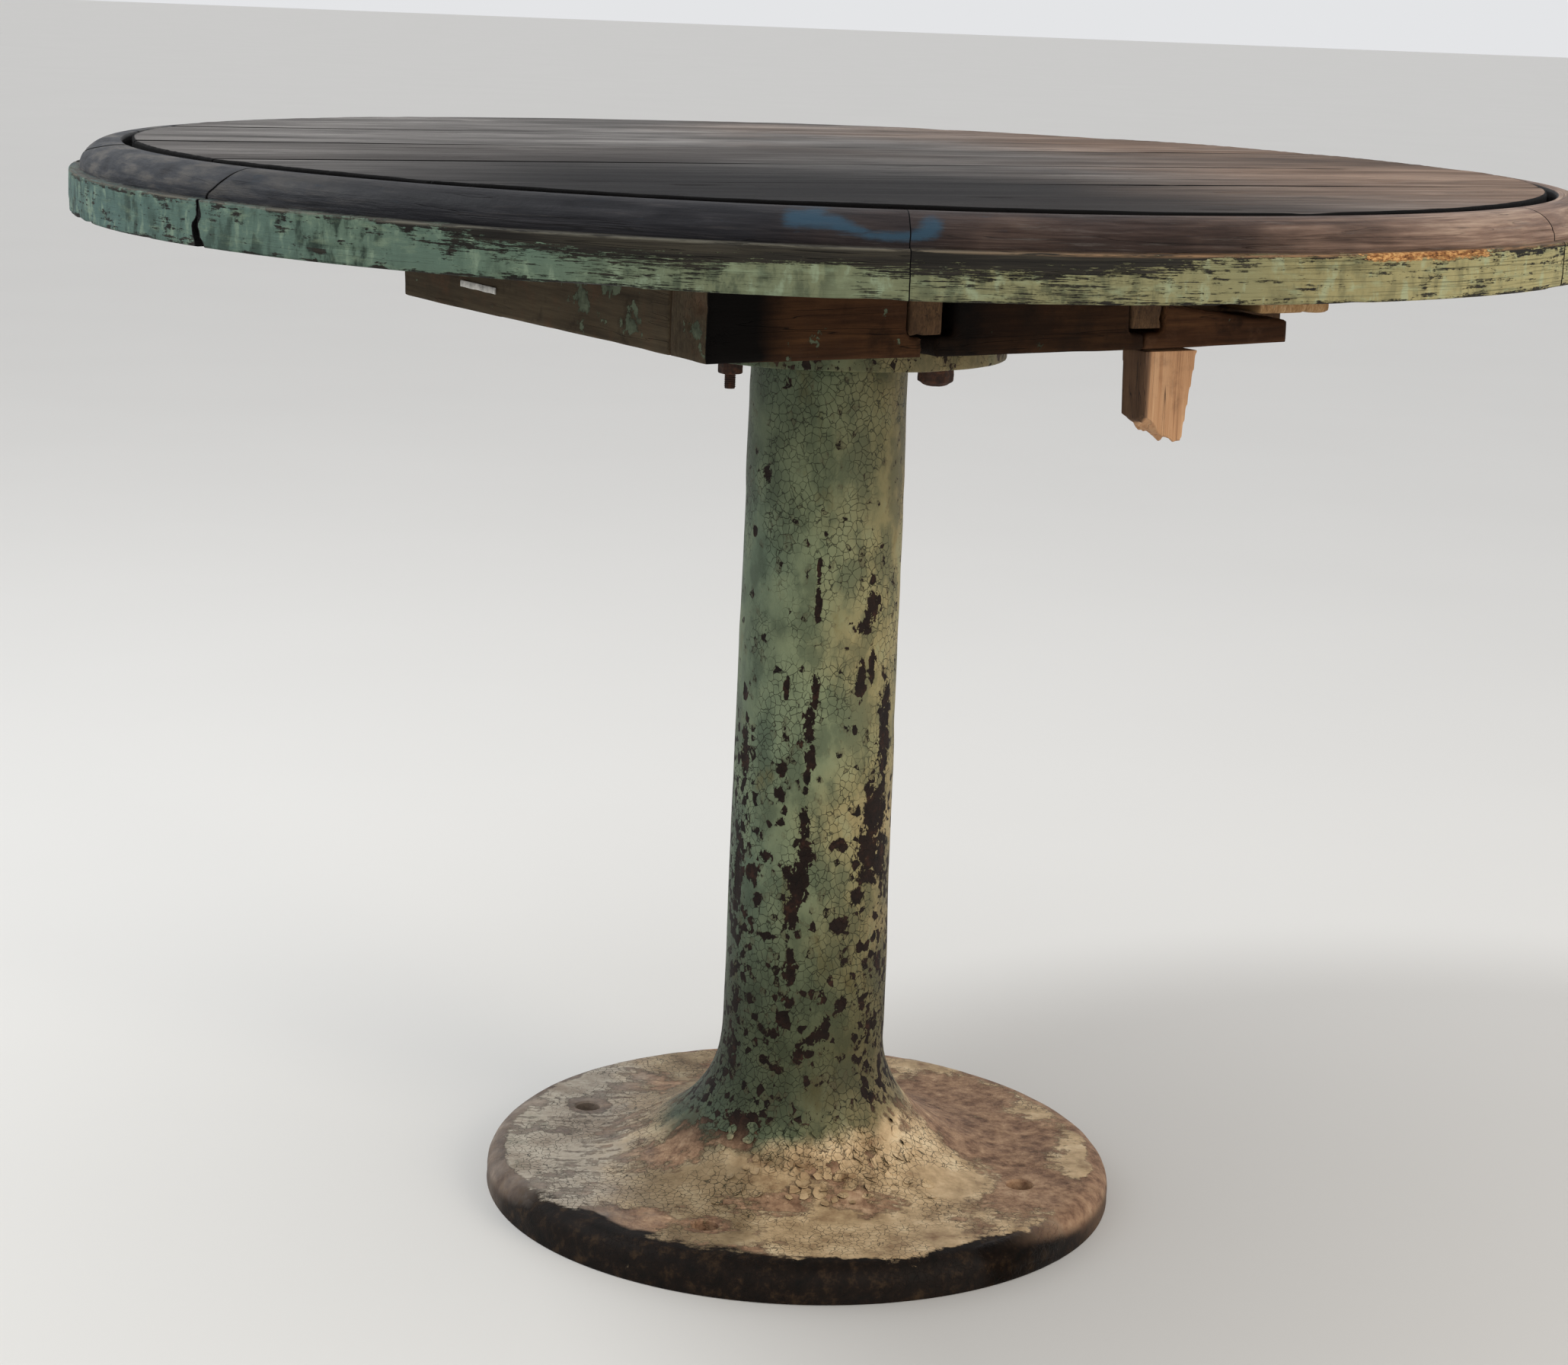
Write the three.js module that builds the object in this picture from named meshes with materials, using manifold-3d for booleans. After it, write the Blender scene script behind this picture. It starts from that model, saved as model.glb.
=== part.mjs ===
// A table-height banding wheel: a round timber wheel head on a cast-iron pedestal.
// The head turns freely about the column's axis on a steel spindle in two bronze bushes.
// Millimetres, +Z up. Origin: on the floor, on the column's axis.

import * as THREE from "three";
import { mergeVertices } from "three/addons/utils/BufferGeometryUtils.js";
import Module from "manifold-3d";

const wasm = await Module();
wasm.setup();

// ---- Driving dimensions -------------------------------------------------------------------

// Heights above the floor
const FACE_Z = 750; // the face that work stands on
const CREST_Z = 748; // top of the ring, a little below the planks
const LEDGE_Z = 729.5; // step between the rim band and its moulding
const LAP_Z = 724; // the planks lap over the ring segments at this level
const TOP_UNDER_Z = 702;
const FRAME_UNDER_Z = 636;
const JOIST_UNDER_Z = 650;
const BOARD_UNDER_Z = 629;
const FLANGE_UNDER_Z = 615;
const COLUMN_TOP_Z = 608;

// The top
const RIM_R = 518;
const MOULDING_R = 511; // foot of the moulding, inside the ledge
const CREST_R = 489; // where the moulding has turned level
const RING_INNER_R = 483;
const PLANK_R = 477; // leaves the groove between the planks and the ring
const LAP_INNER_R = 432;
const PLANK_LAP_R = 428;
const PLANK_TURN = 28; // direction of the planks, degrees
const PLANK_SEAMS = [-262, -85, 92, 269]; // offsets of the seams from the centre
const SEAM = 1.2;
const RING_JOINTS = [-173, -135.5, -85.5, -31.5, 22, 77, 132]; // degrees, one butt joint each
const JOINT_GAP = 1.2;
const EDGE_BREAK = 1.5; // flat taken off a sharp edge

// The underframe, laid out square on its own turned axes: u along the front run, v towards the back
const FRAME_TURN = 32;
const FRAME_U = [-217, 238];
const FRAME_V = [-206, 242];
const BEARER_W = 48;
const LEFT_DROP = 4; // the left bearer is this much deeper at its back end
const JOIST_W = 26;
const JOIST_U = [-70.6, 104]; // left side of each joist
const RIGHT_BEARER_U = [211, 273];
const RIGHT_BEARER_UNDER_Z = 658; // where it laps over the front run
const RIGHT_BEARER_DEEP_Z = 640; // behind the front run
const BOARD_U = [-168, 206];
const BOARD_V = [-122, 122];
const BOARD_WELL_R = 48; // hole for the flange's boss
const STRIP_V = [87, 142];
const STRIP_Z = [649, 653.5];
const STRIP_THICK = 1;
const FIT = 0.3; // clearance between pieces that bear on each other
const SLIP = 0.1; // clearance between turned faces

// The hub
const FLANGE_R = 123.4;
const FLANGE_BREAK = 2;
const BOSS_R = [44, 40]; // at its foot and at its top
const BOLT_CIRCLE_R = 98.5;
const BOLT_TURN = 47; // degrees of the first bolt, the others at quarter turns
const SPINDLE_R = 25;
const HUB_BORE_R = 20;
const THREAD_R = 12;
const SPINDLE_LOW_Z = 262;
const SPINDLE_CHAMFER = 3;
const THREAD_LENGTH = 22;
const BOSS_TOP_Z = 646;
const KEY_W = 8;
const KEY_SUNK = 4; // how deep the key sits in the spindle, and in the boss
const KEY_Z = [FLANGE_UNDER_Z + 4, BOSS_TOP_Z - 4];
const KEY_FIT = 0.2;
const NUT_FLATS = 36;
const NUT_THICK = 14.8;

// The bearings
const BUSH_R = 38;
const BUSH_BORE_R = 25.06;
const UPPER_BUSH_LOW_Z = 548;
const LOWER_BUSH_Z = [302, 358];
const SHOULDER_R = 50; // the upper bush's own flange
const WASHER_THICK = 3;
const UPPER_WASHER_R = 48;
const LOWER_WASHER_R = 42;
const LOWER_WASHER_Z = [LOWER_BUSH_Z[0] - SLIP - WASHER_THICK, LOWER_BUSH_Z[0] - SLIP];
const WASHER_BORE_R = SPINDLE_R + 1;
const COLLAR_R = 40;
const COLLAR_Z = [272, LOWER_WASHER_Z[0] - 2 * SLIP];
const PIN_R = 4;
const PIN_HOLE_R = 4.2;
const PIN_HALF_LENGTH = 39;

// The pedestal casting
const BASE_R = 229;
const BASE_EDGE_Z = 27;
const BASE_ROUND = 16; // rounding of the base's upper edge
const COLUMN_R_TOP = 55;
const COLUMN_R_LOW = 59;
const FLARE_W = 105;
const FLARE_TOP_Z = 119;
const CORE_R = 45;
const SEAT_SLOPE = 12; // height of the cone between the core and a bush's seat
const FLOOR_HOLE_R = 9;
const FLOOR_HOLE_CIRCLE_R = 172;
const FLOOR_HOLE_TURN = 69;

const WIDE_STEPS = 72; // sides of the wheel's circles
const ROUND_STEPS = 48; // sides of the pedestal's and the hub's circles

// ---- Materials ----------------------------------------------------------------------------

const material = (color, roughness, metalness) =>
  new THREE.MeshStandardMaterial({ color, roughness, metalness });

const castPaint = material("#8f9b7c", 0.6, 0.1);
const rimPaint = material("#7f9a72", 0.7, 0);
const darkOak = material("#4a4541", 0.65, 0);
const frameTimber = material("#4a2c1c", 0.8, 0);
const joistTimber = material("#5b3a24", 0.8, 0);
const freshTimber = material("#9c6b49", 0.75, 0);
const steel = material("#777370", 0.4, 0.9);
const rustySteel = material("#5a3a28", 0.85, 0.5);
const bronze = material("#a9803f", 0.4, 0.9);
const paleStrip = material("#c9c6bc", 0.6, 0);

// ---- Solids -------------------------------------------------------------------------------

const rad = THREE.MathUtils.degToRad;

function solidOf(geometry) {
  const bare = geometry.index ? geometry.toNonIndexed() : geometry.clone();
  bare.deleteAttribute("normal");
  bare.deleteAttribute("uv");
  const merged = mergeVertices(bare, 1e-4);
  const corners = merged.index.array;
  const kept = [];
  for (let i = 0; i < corners.length; i += 3) {
    const [a, b, c] = corners.subarray(i, i + 3);
    if (a !== b && b !== c && c !== a) kept.push(a, b, c);
  }
  const vertProperties = merged.attributes.position.array;
  const triVerts = new Uint32Array(kept);
  return new wasm.Manifold(new wasm.Mesh({ numProp: 3, vertProperties, triVerts }));
}

function geometryOf(solid) {
  const { vertProperties, triVerts } = solid.getMesh();
  const geometry = new THREE.BufferGeometry();
  geometry.setAttribute("position", new THREE.BufferAttribute(vertProperties, 3));
  geometry.setIndex(new THREE.BufferAttribute(triVerts, 1));
  geometry.computeVertexNormals();
  return geometry;
}

// A ring or disc turned about Z from a closed profile of [radius, height] points, anticlockwise.
function turned(profile, steps = ROUND_STEPS) {
  const closed = [...profile, profile[0]].map(([r, z]) => new THREE.Vector2(r, z));
  return solidOf(new THREE.LatheGeometry(closed, steps).rotateX(Math.PI / 2));
}

// A turned tube or rod with square ends.
const tube = (inner, outer, low, high, steps) =>
  turned([[inner, low], [outer, low], [outer, high], [inner, high]], steps);

function extruded(outline, depth) {
  const shape = new THREE.Shape(outline.map(([x, y]) => new THREE.Vector2(x, y)));
  return new THREE.ExtrudeGeometry(shape, { depth, bevelEnabled: false });
}

const upright = (outline, low, high) =>
  solidOf(extruded(outline, high - low).translate(0, 0, low));

// Timber with a profile in u and z, running from one v to another.
const frontTimber = (profile, [v0, v1]) =>
  solidOf(extruded(profile, v1 - v0).rotateX(Math.PI / 2).translate(0, v1, 0));

// Timber with a profile in v and z, running from one u to another.
const sideTimber = (profile, [u0, u1]) =>
  solidOf(extruded(profile, u1 - u0).rotateX(Math.PI / 2).rotateZ(Math.PI / 2).translate(u0, 0, 0));

const box = ([u0, u1], [v0, v1], [z0, z1]) =>
  upright([[u0, v0], [u1, v0], [u1, v1], [u0, v1]], z0, z1);

const rod = (x, y, radius, low, high, sides = 12) =>
  solidOf(
    new THREE.CylinderGeometry(radius, radius, high - low, sides)
      .rotateX(Math.PI / 2)
      .translate(x, y, (low + high) / 2),
  );

const hexagon = (x, y, acrossFlats, low, high) =>
  rod(x, y, acrossFlats / Math.sqrt(3), low, high, 6);

const cone = (x, y, lowR, highR, low, high) =>
  solidOf(
    new THREE.CylinderGeometry(highR, lowR, high - low, 12)
      .rotateX(Math.PI / 2)
      .translate(x, y, (low + high) / 2),
  );

// Points of an arc in a profile, from one angle to another, in degrees.
function arc(centreR, centreZ, radiusR, radiusZ, from, to, steps) {
  return Array.from({ length: steps + 1 }, (_, i) => {
    const t = rad(from + ((to - from) * i) / steps);
    return [centreR + radiusR * Math.cos(t), centreZ + radiusZ * Math.sin(t)];
  });
}

const polar = (radius, degrees) => [
  radius * Math.cos(rad(degrees)),
  radius * Math.sin(rad(degrees)),
];

const turnPoint = ([x, y], degrees) => [
  x * Math.cos(rad(degrees)) - y * Math.sin(rad(degrees)),
  x * Math.sin(rad(degrees)) + y * Math.cos(rad(degrees)),
];

// ---- The assembly -------------------------------------------------------------------------

const group = new THREE.Group();
const underframe = new THREE.Group();
underframe.rotation.z = rad(FRAME_TURN);
const deck = new THREE.Group();
deck.rotation.z = rad(PLANK_TURN);
group.add(underframe, deck);

function add(parent, name, solid, finish) {
  const mesh = new THREE.Mesh(geometryOf(solid), finish);
  mesh.name = name;
  parent.add(mesh);
}

// ---- Pedestal -----------------------------------------------------------------------------

// One casting: a flat round base that sweeps up into a slightly tapered hollow column.
function pedestalCasting() {
  const profile = [
    [CORE_R, 0],
    [BASE_R - EDGE_BREAK, 0],
    [BASE_R, EDGE_BREAK],
    ...arc(BASE_R - BASE_ROUND, BASE_EDGE_Z - BASE_ROUND, BASE_ROUND, BASE_ROUND, 0, 90, 4),
    ...arc(COLUMN_R_LOW + FLARE_W, FLARE_TOP_Z, FLARE_W, FLARE_TOP_Z - BASE_EDGE_Z, 270, 180, 8),
    [COLUMN_R_TOP, COLUMN_TOP_Z],
    [BUSH_R + FIT, COLUMN_TOP_Z],
    [BUSH_R + FIT, UPPER_BUSH_LOW_Z - FIT],
    [CORE_R, UPPER_BUSH_LOW_Z - SEAT_SLOPE],
    [CORE_R, LOWER_BUSH_Z[1] + SEAT_SLOPE],
    [BUSH_R + FIT, LOWER_BUSH_Z[1] + FIT],
    [BUSH_R + FIT, LOWER_BUSH_Z[0]],
    [CORE_R, LOWER_BUSH_Z[0]],
  ];
  const holes = [0, 90, 180, 270].map((quarter) => {
    const [x, y] = polar(FLOOR_HOLE_CIRCLE_R, FLOOR_HOLE_TURN + quarter);
    return rod(x, y, FLOOR_HOLE_R, -1, FLARE_TOP_Z, 16);
  });
  return holes.reduce((body, hole) => body.subtract(hole), turned(profile));
}

function bearings() {
  const shoulderLow = COLUMN_TOP_Z + SLIP;
  const shoulderTop = COLUMN_TOP_Z + WASHER_THICK;
  const upperBush = turned([
    [BUSH_BORE_R, UPPER_BUSH_LOW_Z],
    [BUSH_R, UPPER_BUSH_LOW_Z],
    [BUSH_R, shoulderLow],
    [SHOULDER_R, shoulderLow],
    [SHOULDER_R, shoulderTop],
    [BUSH_BORE_R, shoulderTop],
  ]);
  add(group, "upper_bush", upperBush, bronze);
  add(group, "lower_bush", tube(BUSH_BORE_R, BUSH_R, ...LOWER_BUSH_Z), bronze);
  const upperWasherZ = [shoulderTop + SLIP, FLANGE_UNDER_Z - SLIP];
  const upperWasher = tube(WASHER_BORE_R, UPPER_WASHER_R, ...upperWasherZ);
  add(group, "upper_thrust_washer", upperWasher, steel);
  const lowerWasher = tube(WASHER_BORE_R, LOWER_WASHER_R, ...LOWER_WASHER_Z);
  add(group, "lower_thrust_washer", lowerWasher, steel);
}

// ---- Hub: everything on the head's axis ---------------------------------------------------

function keyBlock(clearance) {
  const half = KEY_W / 2 + clearance;
  const reach = KEY_SUNK + clearance;
  const heights = [KEY_Z[0] - clearance, KEY_Z[1] + clearance];
  return box([HUB_BORE_R - reach, HUB_BORE_R + reach], [-half, half], heights);
}

const crossPin = (radius, reach) =>
  solidOf(
    new THREE.CylinderGeometry(radius, radius, 2 * reach, 12)
      .translate(0, 0, (COLLAR_Z[0] + COLLAR_Z[1]) / 2),
  );

function spindleParts() {
  const shoulderZ = FLANGE_UNDER_Z - SLIP;
  const threadLow = BOSS_TOP_Z - 1; // a little inside the boss, so that the nut draws up on it
  const threadTop = BOSS_TOP_Z + THREAD_LENGTH;
  const spindle = turned([
    [0, SPINDLE_LOW_Z],
    [SPINDLE_R - SPINDLE_CHAMFER, SPINDLE_LOW_Z],
    [SPINDLE_R, SPINDLE_LOW_Z + SPINDLE_CHAMFER],
    [SPINDLE_R, shoulderZ],
    [HUB_BORE_R, shoulderZ],
    [HUB_BORE_R, threadLow],
    [THREAD_R, threadLow],
    [THREAD_R, threadTop],
    [0, threadTop],
  ]);
  const pinHole = crossPin(PIN_HOLE_R, COLLAR_R + SPINDLE_R);
  add(group, "spindle", spindle.subtract(keyBlock(KEY_FIT)).subtract(pinHole), steel);
  add(group, "hub_key", keyBlock(0), steel);
  const collar = tube(SPINDLE_R + SLIP, COLLAR_R, ...COLLAR_Z);
  add(group, "retaining_collar", collar.subtract(pinHole), steel);
  add(group, "collar_pin", crossPin(PIN_R, PIN_HALF_LENGTH), steel);
  const boreR = THREAD_R + 4 * SLIP;
  const washerZ = [BOSS_TOP_Z + SLIP, BOSS_TOP_Z + SLIP + WASHER_THICK];
  add(group, "spindle_washer", tube(boreR, 2 * THREAD_R, ...washerZ, 24), steel);
  const nutZ = [washerZ[1] + SLIP, washerZ[1] + SLIP + NUT_THICK];
  const nutHole = rod(0, 0, boreR, nutZ[0] - 1, nutZ[1] + 1, 24);
  add(group, "spindle_nut", hexagon(0, 0, NUT_FLATS, ...nutZ).subtract(nutHole), steel);
}

const boltPlaces = [0, 90, 180, 270].map((quarter) =>
  polar(BOLT_CIRCLE_R, BOLT_TURN + quarter),
);

// The through bolt, and the coach screws: flats across the head and levels above the floor.
const BOLT_R = 4;
const BOLT_END_Z = 595;
const BOLT_HEAD_FLATS = 13;
const BOLT_HEAD_Z = [JOIST_UNDER_Z + 1.2, JOIST_UNDER_Z + 7];
const BOLT_NUT_FLATS = 15;
const BOLT_NUT_Z = [605, FLANGE_UNDER_Z - FIT];
const COACH_R = 6;
const COACH_FLATS = 22;
const COACH_HEAD_Z = [604, FLANGE_UNDER_Z - FIT];
const COACH_CROWN_Z = [601.5, COACH_HEAD_Z[0] + 0.2];
const COACH_CROWN_R = [8, 11.2];
const COACH_TIP_Z = JOIST_UNDER_Z - 4;

function hubFlange() {
  const top = BOARD_UNDER_Z - FIT;
  const bore = HUB_BORE_R + SLIP;
  const profile = [
    [bore, FLANGE_UNDER_Z],
    [FLANGE_R - FLANGE_BREAK, FLANGE_UNDER_Z],
    [FLANGE_R, FLANGE_UNDER_Z + FLANGE_BREAK],
    [FLANGE_R, top - FLANGE_BREAK],
    [FLANGE_R - FLANGE_BREAK, top],
    [BOSS_R[0], top],
    [BOSS_R[1], BOSS_TOP_Z],
    [bore, BOSS_TOP_Z],
  ];
  const low = FLANGE_UNDER_Z - 1;
  const holes = boltPlaces.map(([x, y]) => rod(x, y, COACH_R + 0.7, low, BOSS_TOP_Z));
  return [keyBlock(KEY_FIT), ...holes].reduce((body, cut) => body.subtract(cut), turned(profile));
}

// One through bolt with its nut underneath, and three coach screws driven up into the board.
function hubFasteners() {
  const [first, second, boltPlace, fourth] = boltPlaces;
  const boltHead = hexagon(...boltPlace, BOLT_HEAD_FLATS, ...BOLT_HEAD_Z);
  const shank = rod(...boltPlace, BOLT_R, BOLT_END_Z, BOLT_HEAD_Z[0] + 1);
  add(group, "hub_bolt", shank.add(boltHead), rustySteel);
  const nutHole = rod(...boltPlace, BOLT_R + FIT, BOLT_NUT_Z[0] - 1, BOLT_NUT_Z[1] + 1);
  const nut = hexagon(...boltPlace, BOLT_NUT_FLATS, ...BOLT_NUT_Z);
  add(group, "hub_nut", nut.subtract(nutHole), rustySteel);
  [fourth, first, second].forEach((place, i) => {
    const head = hexagon(...place, COACH_FLATS, ...COACH_HEAD_Z);
    const crown = cone(...place, ...COACH_CROWN_R, ...COACH_CROWN_Z);
    const stem = rod(...place, COACH_R, COACH_HEAD_Z[0] + 1, COACH_TIP_Z);
    add(group, `coach_screw_${i + 1}`, head.add(crown).add(stem), rustySteel);
  });
}

// ---- Underframe ---------------------------------------------------------------------------

const [U0, U1] = FRAME_U;
const [V0, V1] = FRAME_V;
const BEARER_TOP_Z = TOP_UNDER_Z - FIT;
const OFFCUT_TOP_Z = [670, 666]; // the front run's right-hand length is thinner: its two top levels
const OFFCUT_STEP_U = 142;
const NOTCH = FIT + 8.7; // the front run is cut this much wide of the left joist
const SPLIT_U = [JOIST_U[0] + 11, JOIST_U[0] + 20.6]; // open butt joint under the left joist
const LAP_U = JOIST_U[1] + 13; // tight butt joint under the right joist

// Screws go up through the bearers and the ring's laps into the planks.
const FRAME_SCREWS = [
  [U0 + BEARER_W / 2, -150],
  [U0 + BEARER_W / 2, 190],
  [-20, V1 - BEARER_W / 2],
  [175, V1 - BEARER_W / 2],
  [242, -90],
  [242, 130],
];
const SCREW_R = 2.6;
const SCREW_HEAD_R = 5.5;
const SCREW_HEAD_H = 4;
const SCREW_OVERLAP = 0.5; // how far a screw's shank runs into its head
const FRAME_SCREW_HEAD_Z = 668;
const FRAME_SCREW_TIP_Z = 738;
const RING_SCREW_CIRCLE_R = 450;
const RING_SCREW_HEAD_Z = TOP_UNDER_Z + 0.5;
const RING_SCREW_TIP_Z = 741;

function upScrew(x, y, headLow, tip) {
  const headTop = headLow + SCREW_HEAD_H;
  const head = cone(x, y, SCREW_HEAD_R, SCREW_R, headLow, headTop);
  return head.add(rod(x, y, SCREW_R, headTop - SCREW_OVERLAP, tip));
}

// The space that a screw needs: its own hole, and a counterbore from below.
function screwHole(x, y, headLow, tip, below) {
  const headTop = headLow + SCREW_HEAD_H;
  const counterbore = rod(x, y, SCREW_HEAD_R + 0.8, below, headLow + 0.4);
  const seat = cone(x, y, SCREW_HEAD_R + 0.6, SCREW_R + 0.5, headLow, headTop + 0.4);
  return counterbore.add(seat).add(rod(x, y, SCREW_R + FIT, headTop - SCREW_OVERLAP, tip + 1));
}

function drilled(solid, places, headLow, tip, below) {
  return places.reduce(
    (body, [x, y]) => body.subtract(screwHole(x, y, headLow, tip, below)),
    solid,
  );
}

const drilledFrame = (solid) =>
  drilled(solid, FRAME_SCREWS, FRAME_SCREW_HEAD_Z, FRAME_SCREW_TIP_Z, BOARD_UNDER_Z);

function frontRun() {
  const v = [V0, V0 + BEARER_W];
  const notchZ = JOIST_UNDER_Z - FIT;
  const left = frontTimber(
    [
      [U0, FRAME_UNDER_Z],
      [SPLIT_U[0], FRAME_UNDER_Z],
      [SPLIT_U[0], notchZ],
      [JOIST_U[0] - FIT, notchZ],
      [JOIST_U[0] - FIT, BEARER_TOP_Z],
      [U0, BEARER_TOP_Z],
    ],
    v,
  );
  add(underframe, "front_bearer_left", left, frameTimber);
  const middle = frontTimber(
    [
      [SPLIT_U[1], FRAME_UNDER_Z],
      [LAP_U - FIT, FRAME_UNDER_Z],
      [LAP_U - FIT, notchZ - 2],
      [JOIST_U[1] - FIT, notchZ - 2],
      [JOIST_U[1] - FIT, BEARER_TOP_Z],
      [JOIST_U[0] + JOIST_W + NOTCH, BEARER_TOP_Z],
      [JOIST_U[0] + JOIST_W + NOTCH, notchZ],
      [SPLIT_U[1], notchZ],
    ],
    v,
  );
  add(underframe, "front_bearer_middle", middle, frameTimber);
  const rightEnd = RIGHT_BEARER_UNDER_Z - FIT;
  const offcutU = JOIST_U[1] + JOIST_W + FIT + 1;
  const right = frontTimber(
    [
      [LAP_U + FIT, FRAME_UNDER_Z],
      [U1, FRAME_UNDER_Z + 2],
      [U1, rightEnd - 3],
      [RIGHT_BEARER_U[0] - 2, rightEnd - 2],
      [OFFCUT_STEP_U, OFFCUT_TOP_Z[1]],
      [offcutU, OFFCUT_TOP_Z[0]],
      [offcutU, notchZ - 2],
      [LAP_U + FIT, notchZ - 2],
    ],
    v,
  );
  add(underframe, "front_bearer_right", right, frameTimber);
}

function sideRuns() {
  const behindFront = V0 + BEARER_W + FIT;
  const left = sideTimber(
    [
      [behindFront, FRAME_UNDER_Z],
      [V1, FRAME_UNDER_Z - LEFT_DROP],
      [V1, BEARER_TOP_Z],
      [behindFront, BEARER_TOP_Z],
    ],
    [U0, U0 + BEARER_W],
  );
  add(underframe, "left_bearer", drilledFrame(left), frameTimber);
  const right = sideTimber(
    [
      [V0 - 2, RIGHT_BEARER_UNDER_Z],
      [behindFront, RIGHT_BEARER_UNDER_Z],
      [behindFront, RIGHT_BEARER_DEEP_Z],
      [V1, RIGHT_BEARER_DEEP_Z],
      [V1, BEARER_TOP_Z],
      [V0 - 2, BEARER_TOP_Z],
    ],
    RIGHT_BEARER_U,
  );
  add(underframe, "right_bearer", drilledFrame(right), joistTimber);
  const back = box(
    [U0 + BEARER_W + FIT, RIGHT_BEARER_U[0] - FIT],
    [V1 - BEARER_W, V1],
    [FRAME_UNDER_Z, BEARER_TOP_Z],
  );
  const notches = JOIST_U.map((u) =>
    box([u - FIT, u + JOIST_W + FIT], [V1 - BEARER_W - 1, V1 + 1], [JOIST_UNDER_Z - FIT, FACE_Z]),
  );
  const notched = notches.reduce((body, cut) => body.subtract(cut), back);
  add(underframe, "back_bearer", drilledFrame(notched), frameTimber);
}

// Two joists on edge run from the front run to the back bearer, over the hub board.
function joists() {
  JOIST_U.forEach((u, i) => {
    const joist = box([u, u + JOIST_W], [V0 + 0.5, V1 - 0.5], [JOIST_UNDER_Z, BEARER_TOP_Z]);
    add(underframe, `joist_${i + 1}`, joist, joistTimber);
  });
}

function hubBoard() {
  const board = box(BOARD_U, BOARD_V, [BOARD_UNDER_Z, JOIST_UNDER_Z - FIT]);
  const through = [BOARD_UNDER_Z - 1, JOIST_UNDER_Z + 1];
  const holes = boltPlaces.map((place) =>
    rod(...turnPoint(place, -FRAME_TURN), COACH_R + 0.5, ...through),
  );
  const well = rod(0, 0, BOARD_WELL_R, ...through, 24);
  return [well, ...holes].reduce((body, cut) => body.subtract(cut), board);
}

const PEG_U = [LAP_U + 1, LAP_U + 45];
const PEG_V = [V0 + 1, V0 + 28];
const PEG_END_U = [PEG_U[0] + 2, PEG_U[1] - 9];
const PEG_END_Z = [586, 571];

// A square peg under the front run: the lower end is cut off on the slant.
function turningPeg() {
  const outline = [
    [PEG_U[0], FRAME_UNDER_Z - FIT],
    [PEG_END_U[0], PEG_END_Z[0]],
    [PEG_END_U[1], PEG_END_Z[1]],
    [PEG_U[1], FRAME_UNDER_Z - FIT],
  ];
  return frontTimber(outline, PEG_V);
}

function frameScrews() {
  FRAME_SCREWS.forEach(([u, v], i) => {
    const screw = upScrew(u, v, FRAME_SCREW_HEAD_Z, FRAME_SCREW_TIP_Z);
    add(underframe, `frame_screw_${i + 1}`, screw, steel);
  });
}

// ---- The top ------------------------------------------------------------------------------

const ringSection = [
  [LAP_INNER_R, TOP_UNDER_Z],
  [RIM_R - EDGE_BREAK, TOP_UNDER_Z],
  [RIM_R, TOP_UNDER_Z + EDGE_BREAK],
  [RIM_R, LEDGE_Z - EDGE_BREAK],
  [RIM_R - EDGE_BREAK, LEDGE_Z],
  ...arc(CREST_R, LEDGE_Z, MOULDING_R - CREST_R, CREST_Z - LEDGE_Z, 0, 90, 4),
  [RING_INNER_R, CREST_Z],
  [RING_INNER_R, LAP_Z],
  [LAP_INNER_R, LAP_Z],
];

const ringSpans = RING_JOINTS.map((from, i) => {
  const to = i + 1 < RING_JOINTS.length ? RING_JOINTS[i + 1] : RING_JOINTS[0] + 360;
  return [from, to];
});
const ringScrewPlaces = ringSpans.map(([from, to]) => polar(RING_SCREW_CIRCLE_R, (from + to) / 2));

// The ring is sawn from separate boards that butt on the radii.
function ringSegments() {
  const ring = turned(ringSection, WIDE_STEPS);
  const reach = 2 * RIM_R;
  const slit = THREE.MathUtils.radToDeg(JOINT_GAP / 2 / RIM_R);
  ringSpans.forEach(([from, to], i) => {
    const ends = [from + slit, (from + to) / 2, to - slit].map((at) => polar(reach, at));
    const sector = upright([[0, 0], ...ends], TOP_UNDER_Z - 5, FACE_Z + 5);
    const segment = drilled(
      ring.intersect(sector),
      [ringScrewPlaces[i]],
      RING_SCREW_HEAD_Z,
      RING_SCREW_TIP_Z,
      TOP_UNDER_Z - 1,
    );
    add(group, `ring_segment_${i + 1}`, segment, rimPaint);
    const screw = upScrew(...ringScrewPlaces[i], RING_SCREW_HEAD_Z, RING_SCREW_TIP_Z);
    add(group, `ring_screw_${i + 1}`, screw, steel);
  });
}

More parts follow.
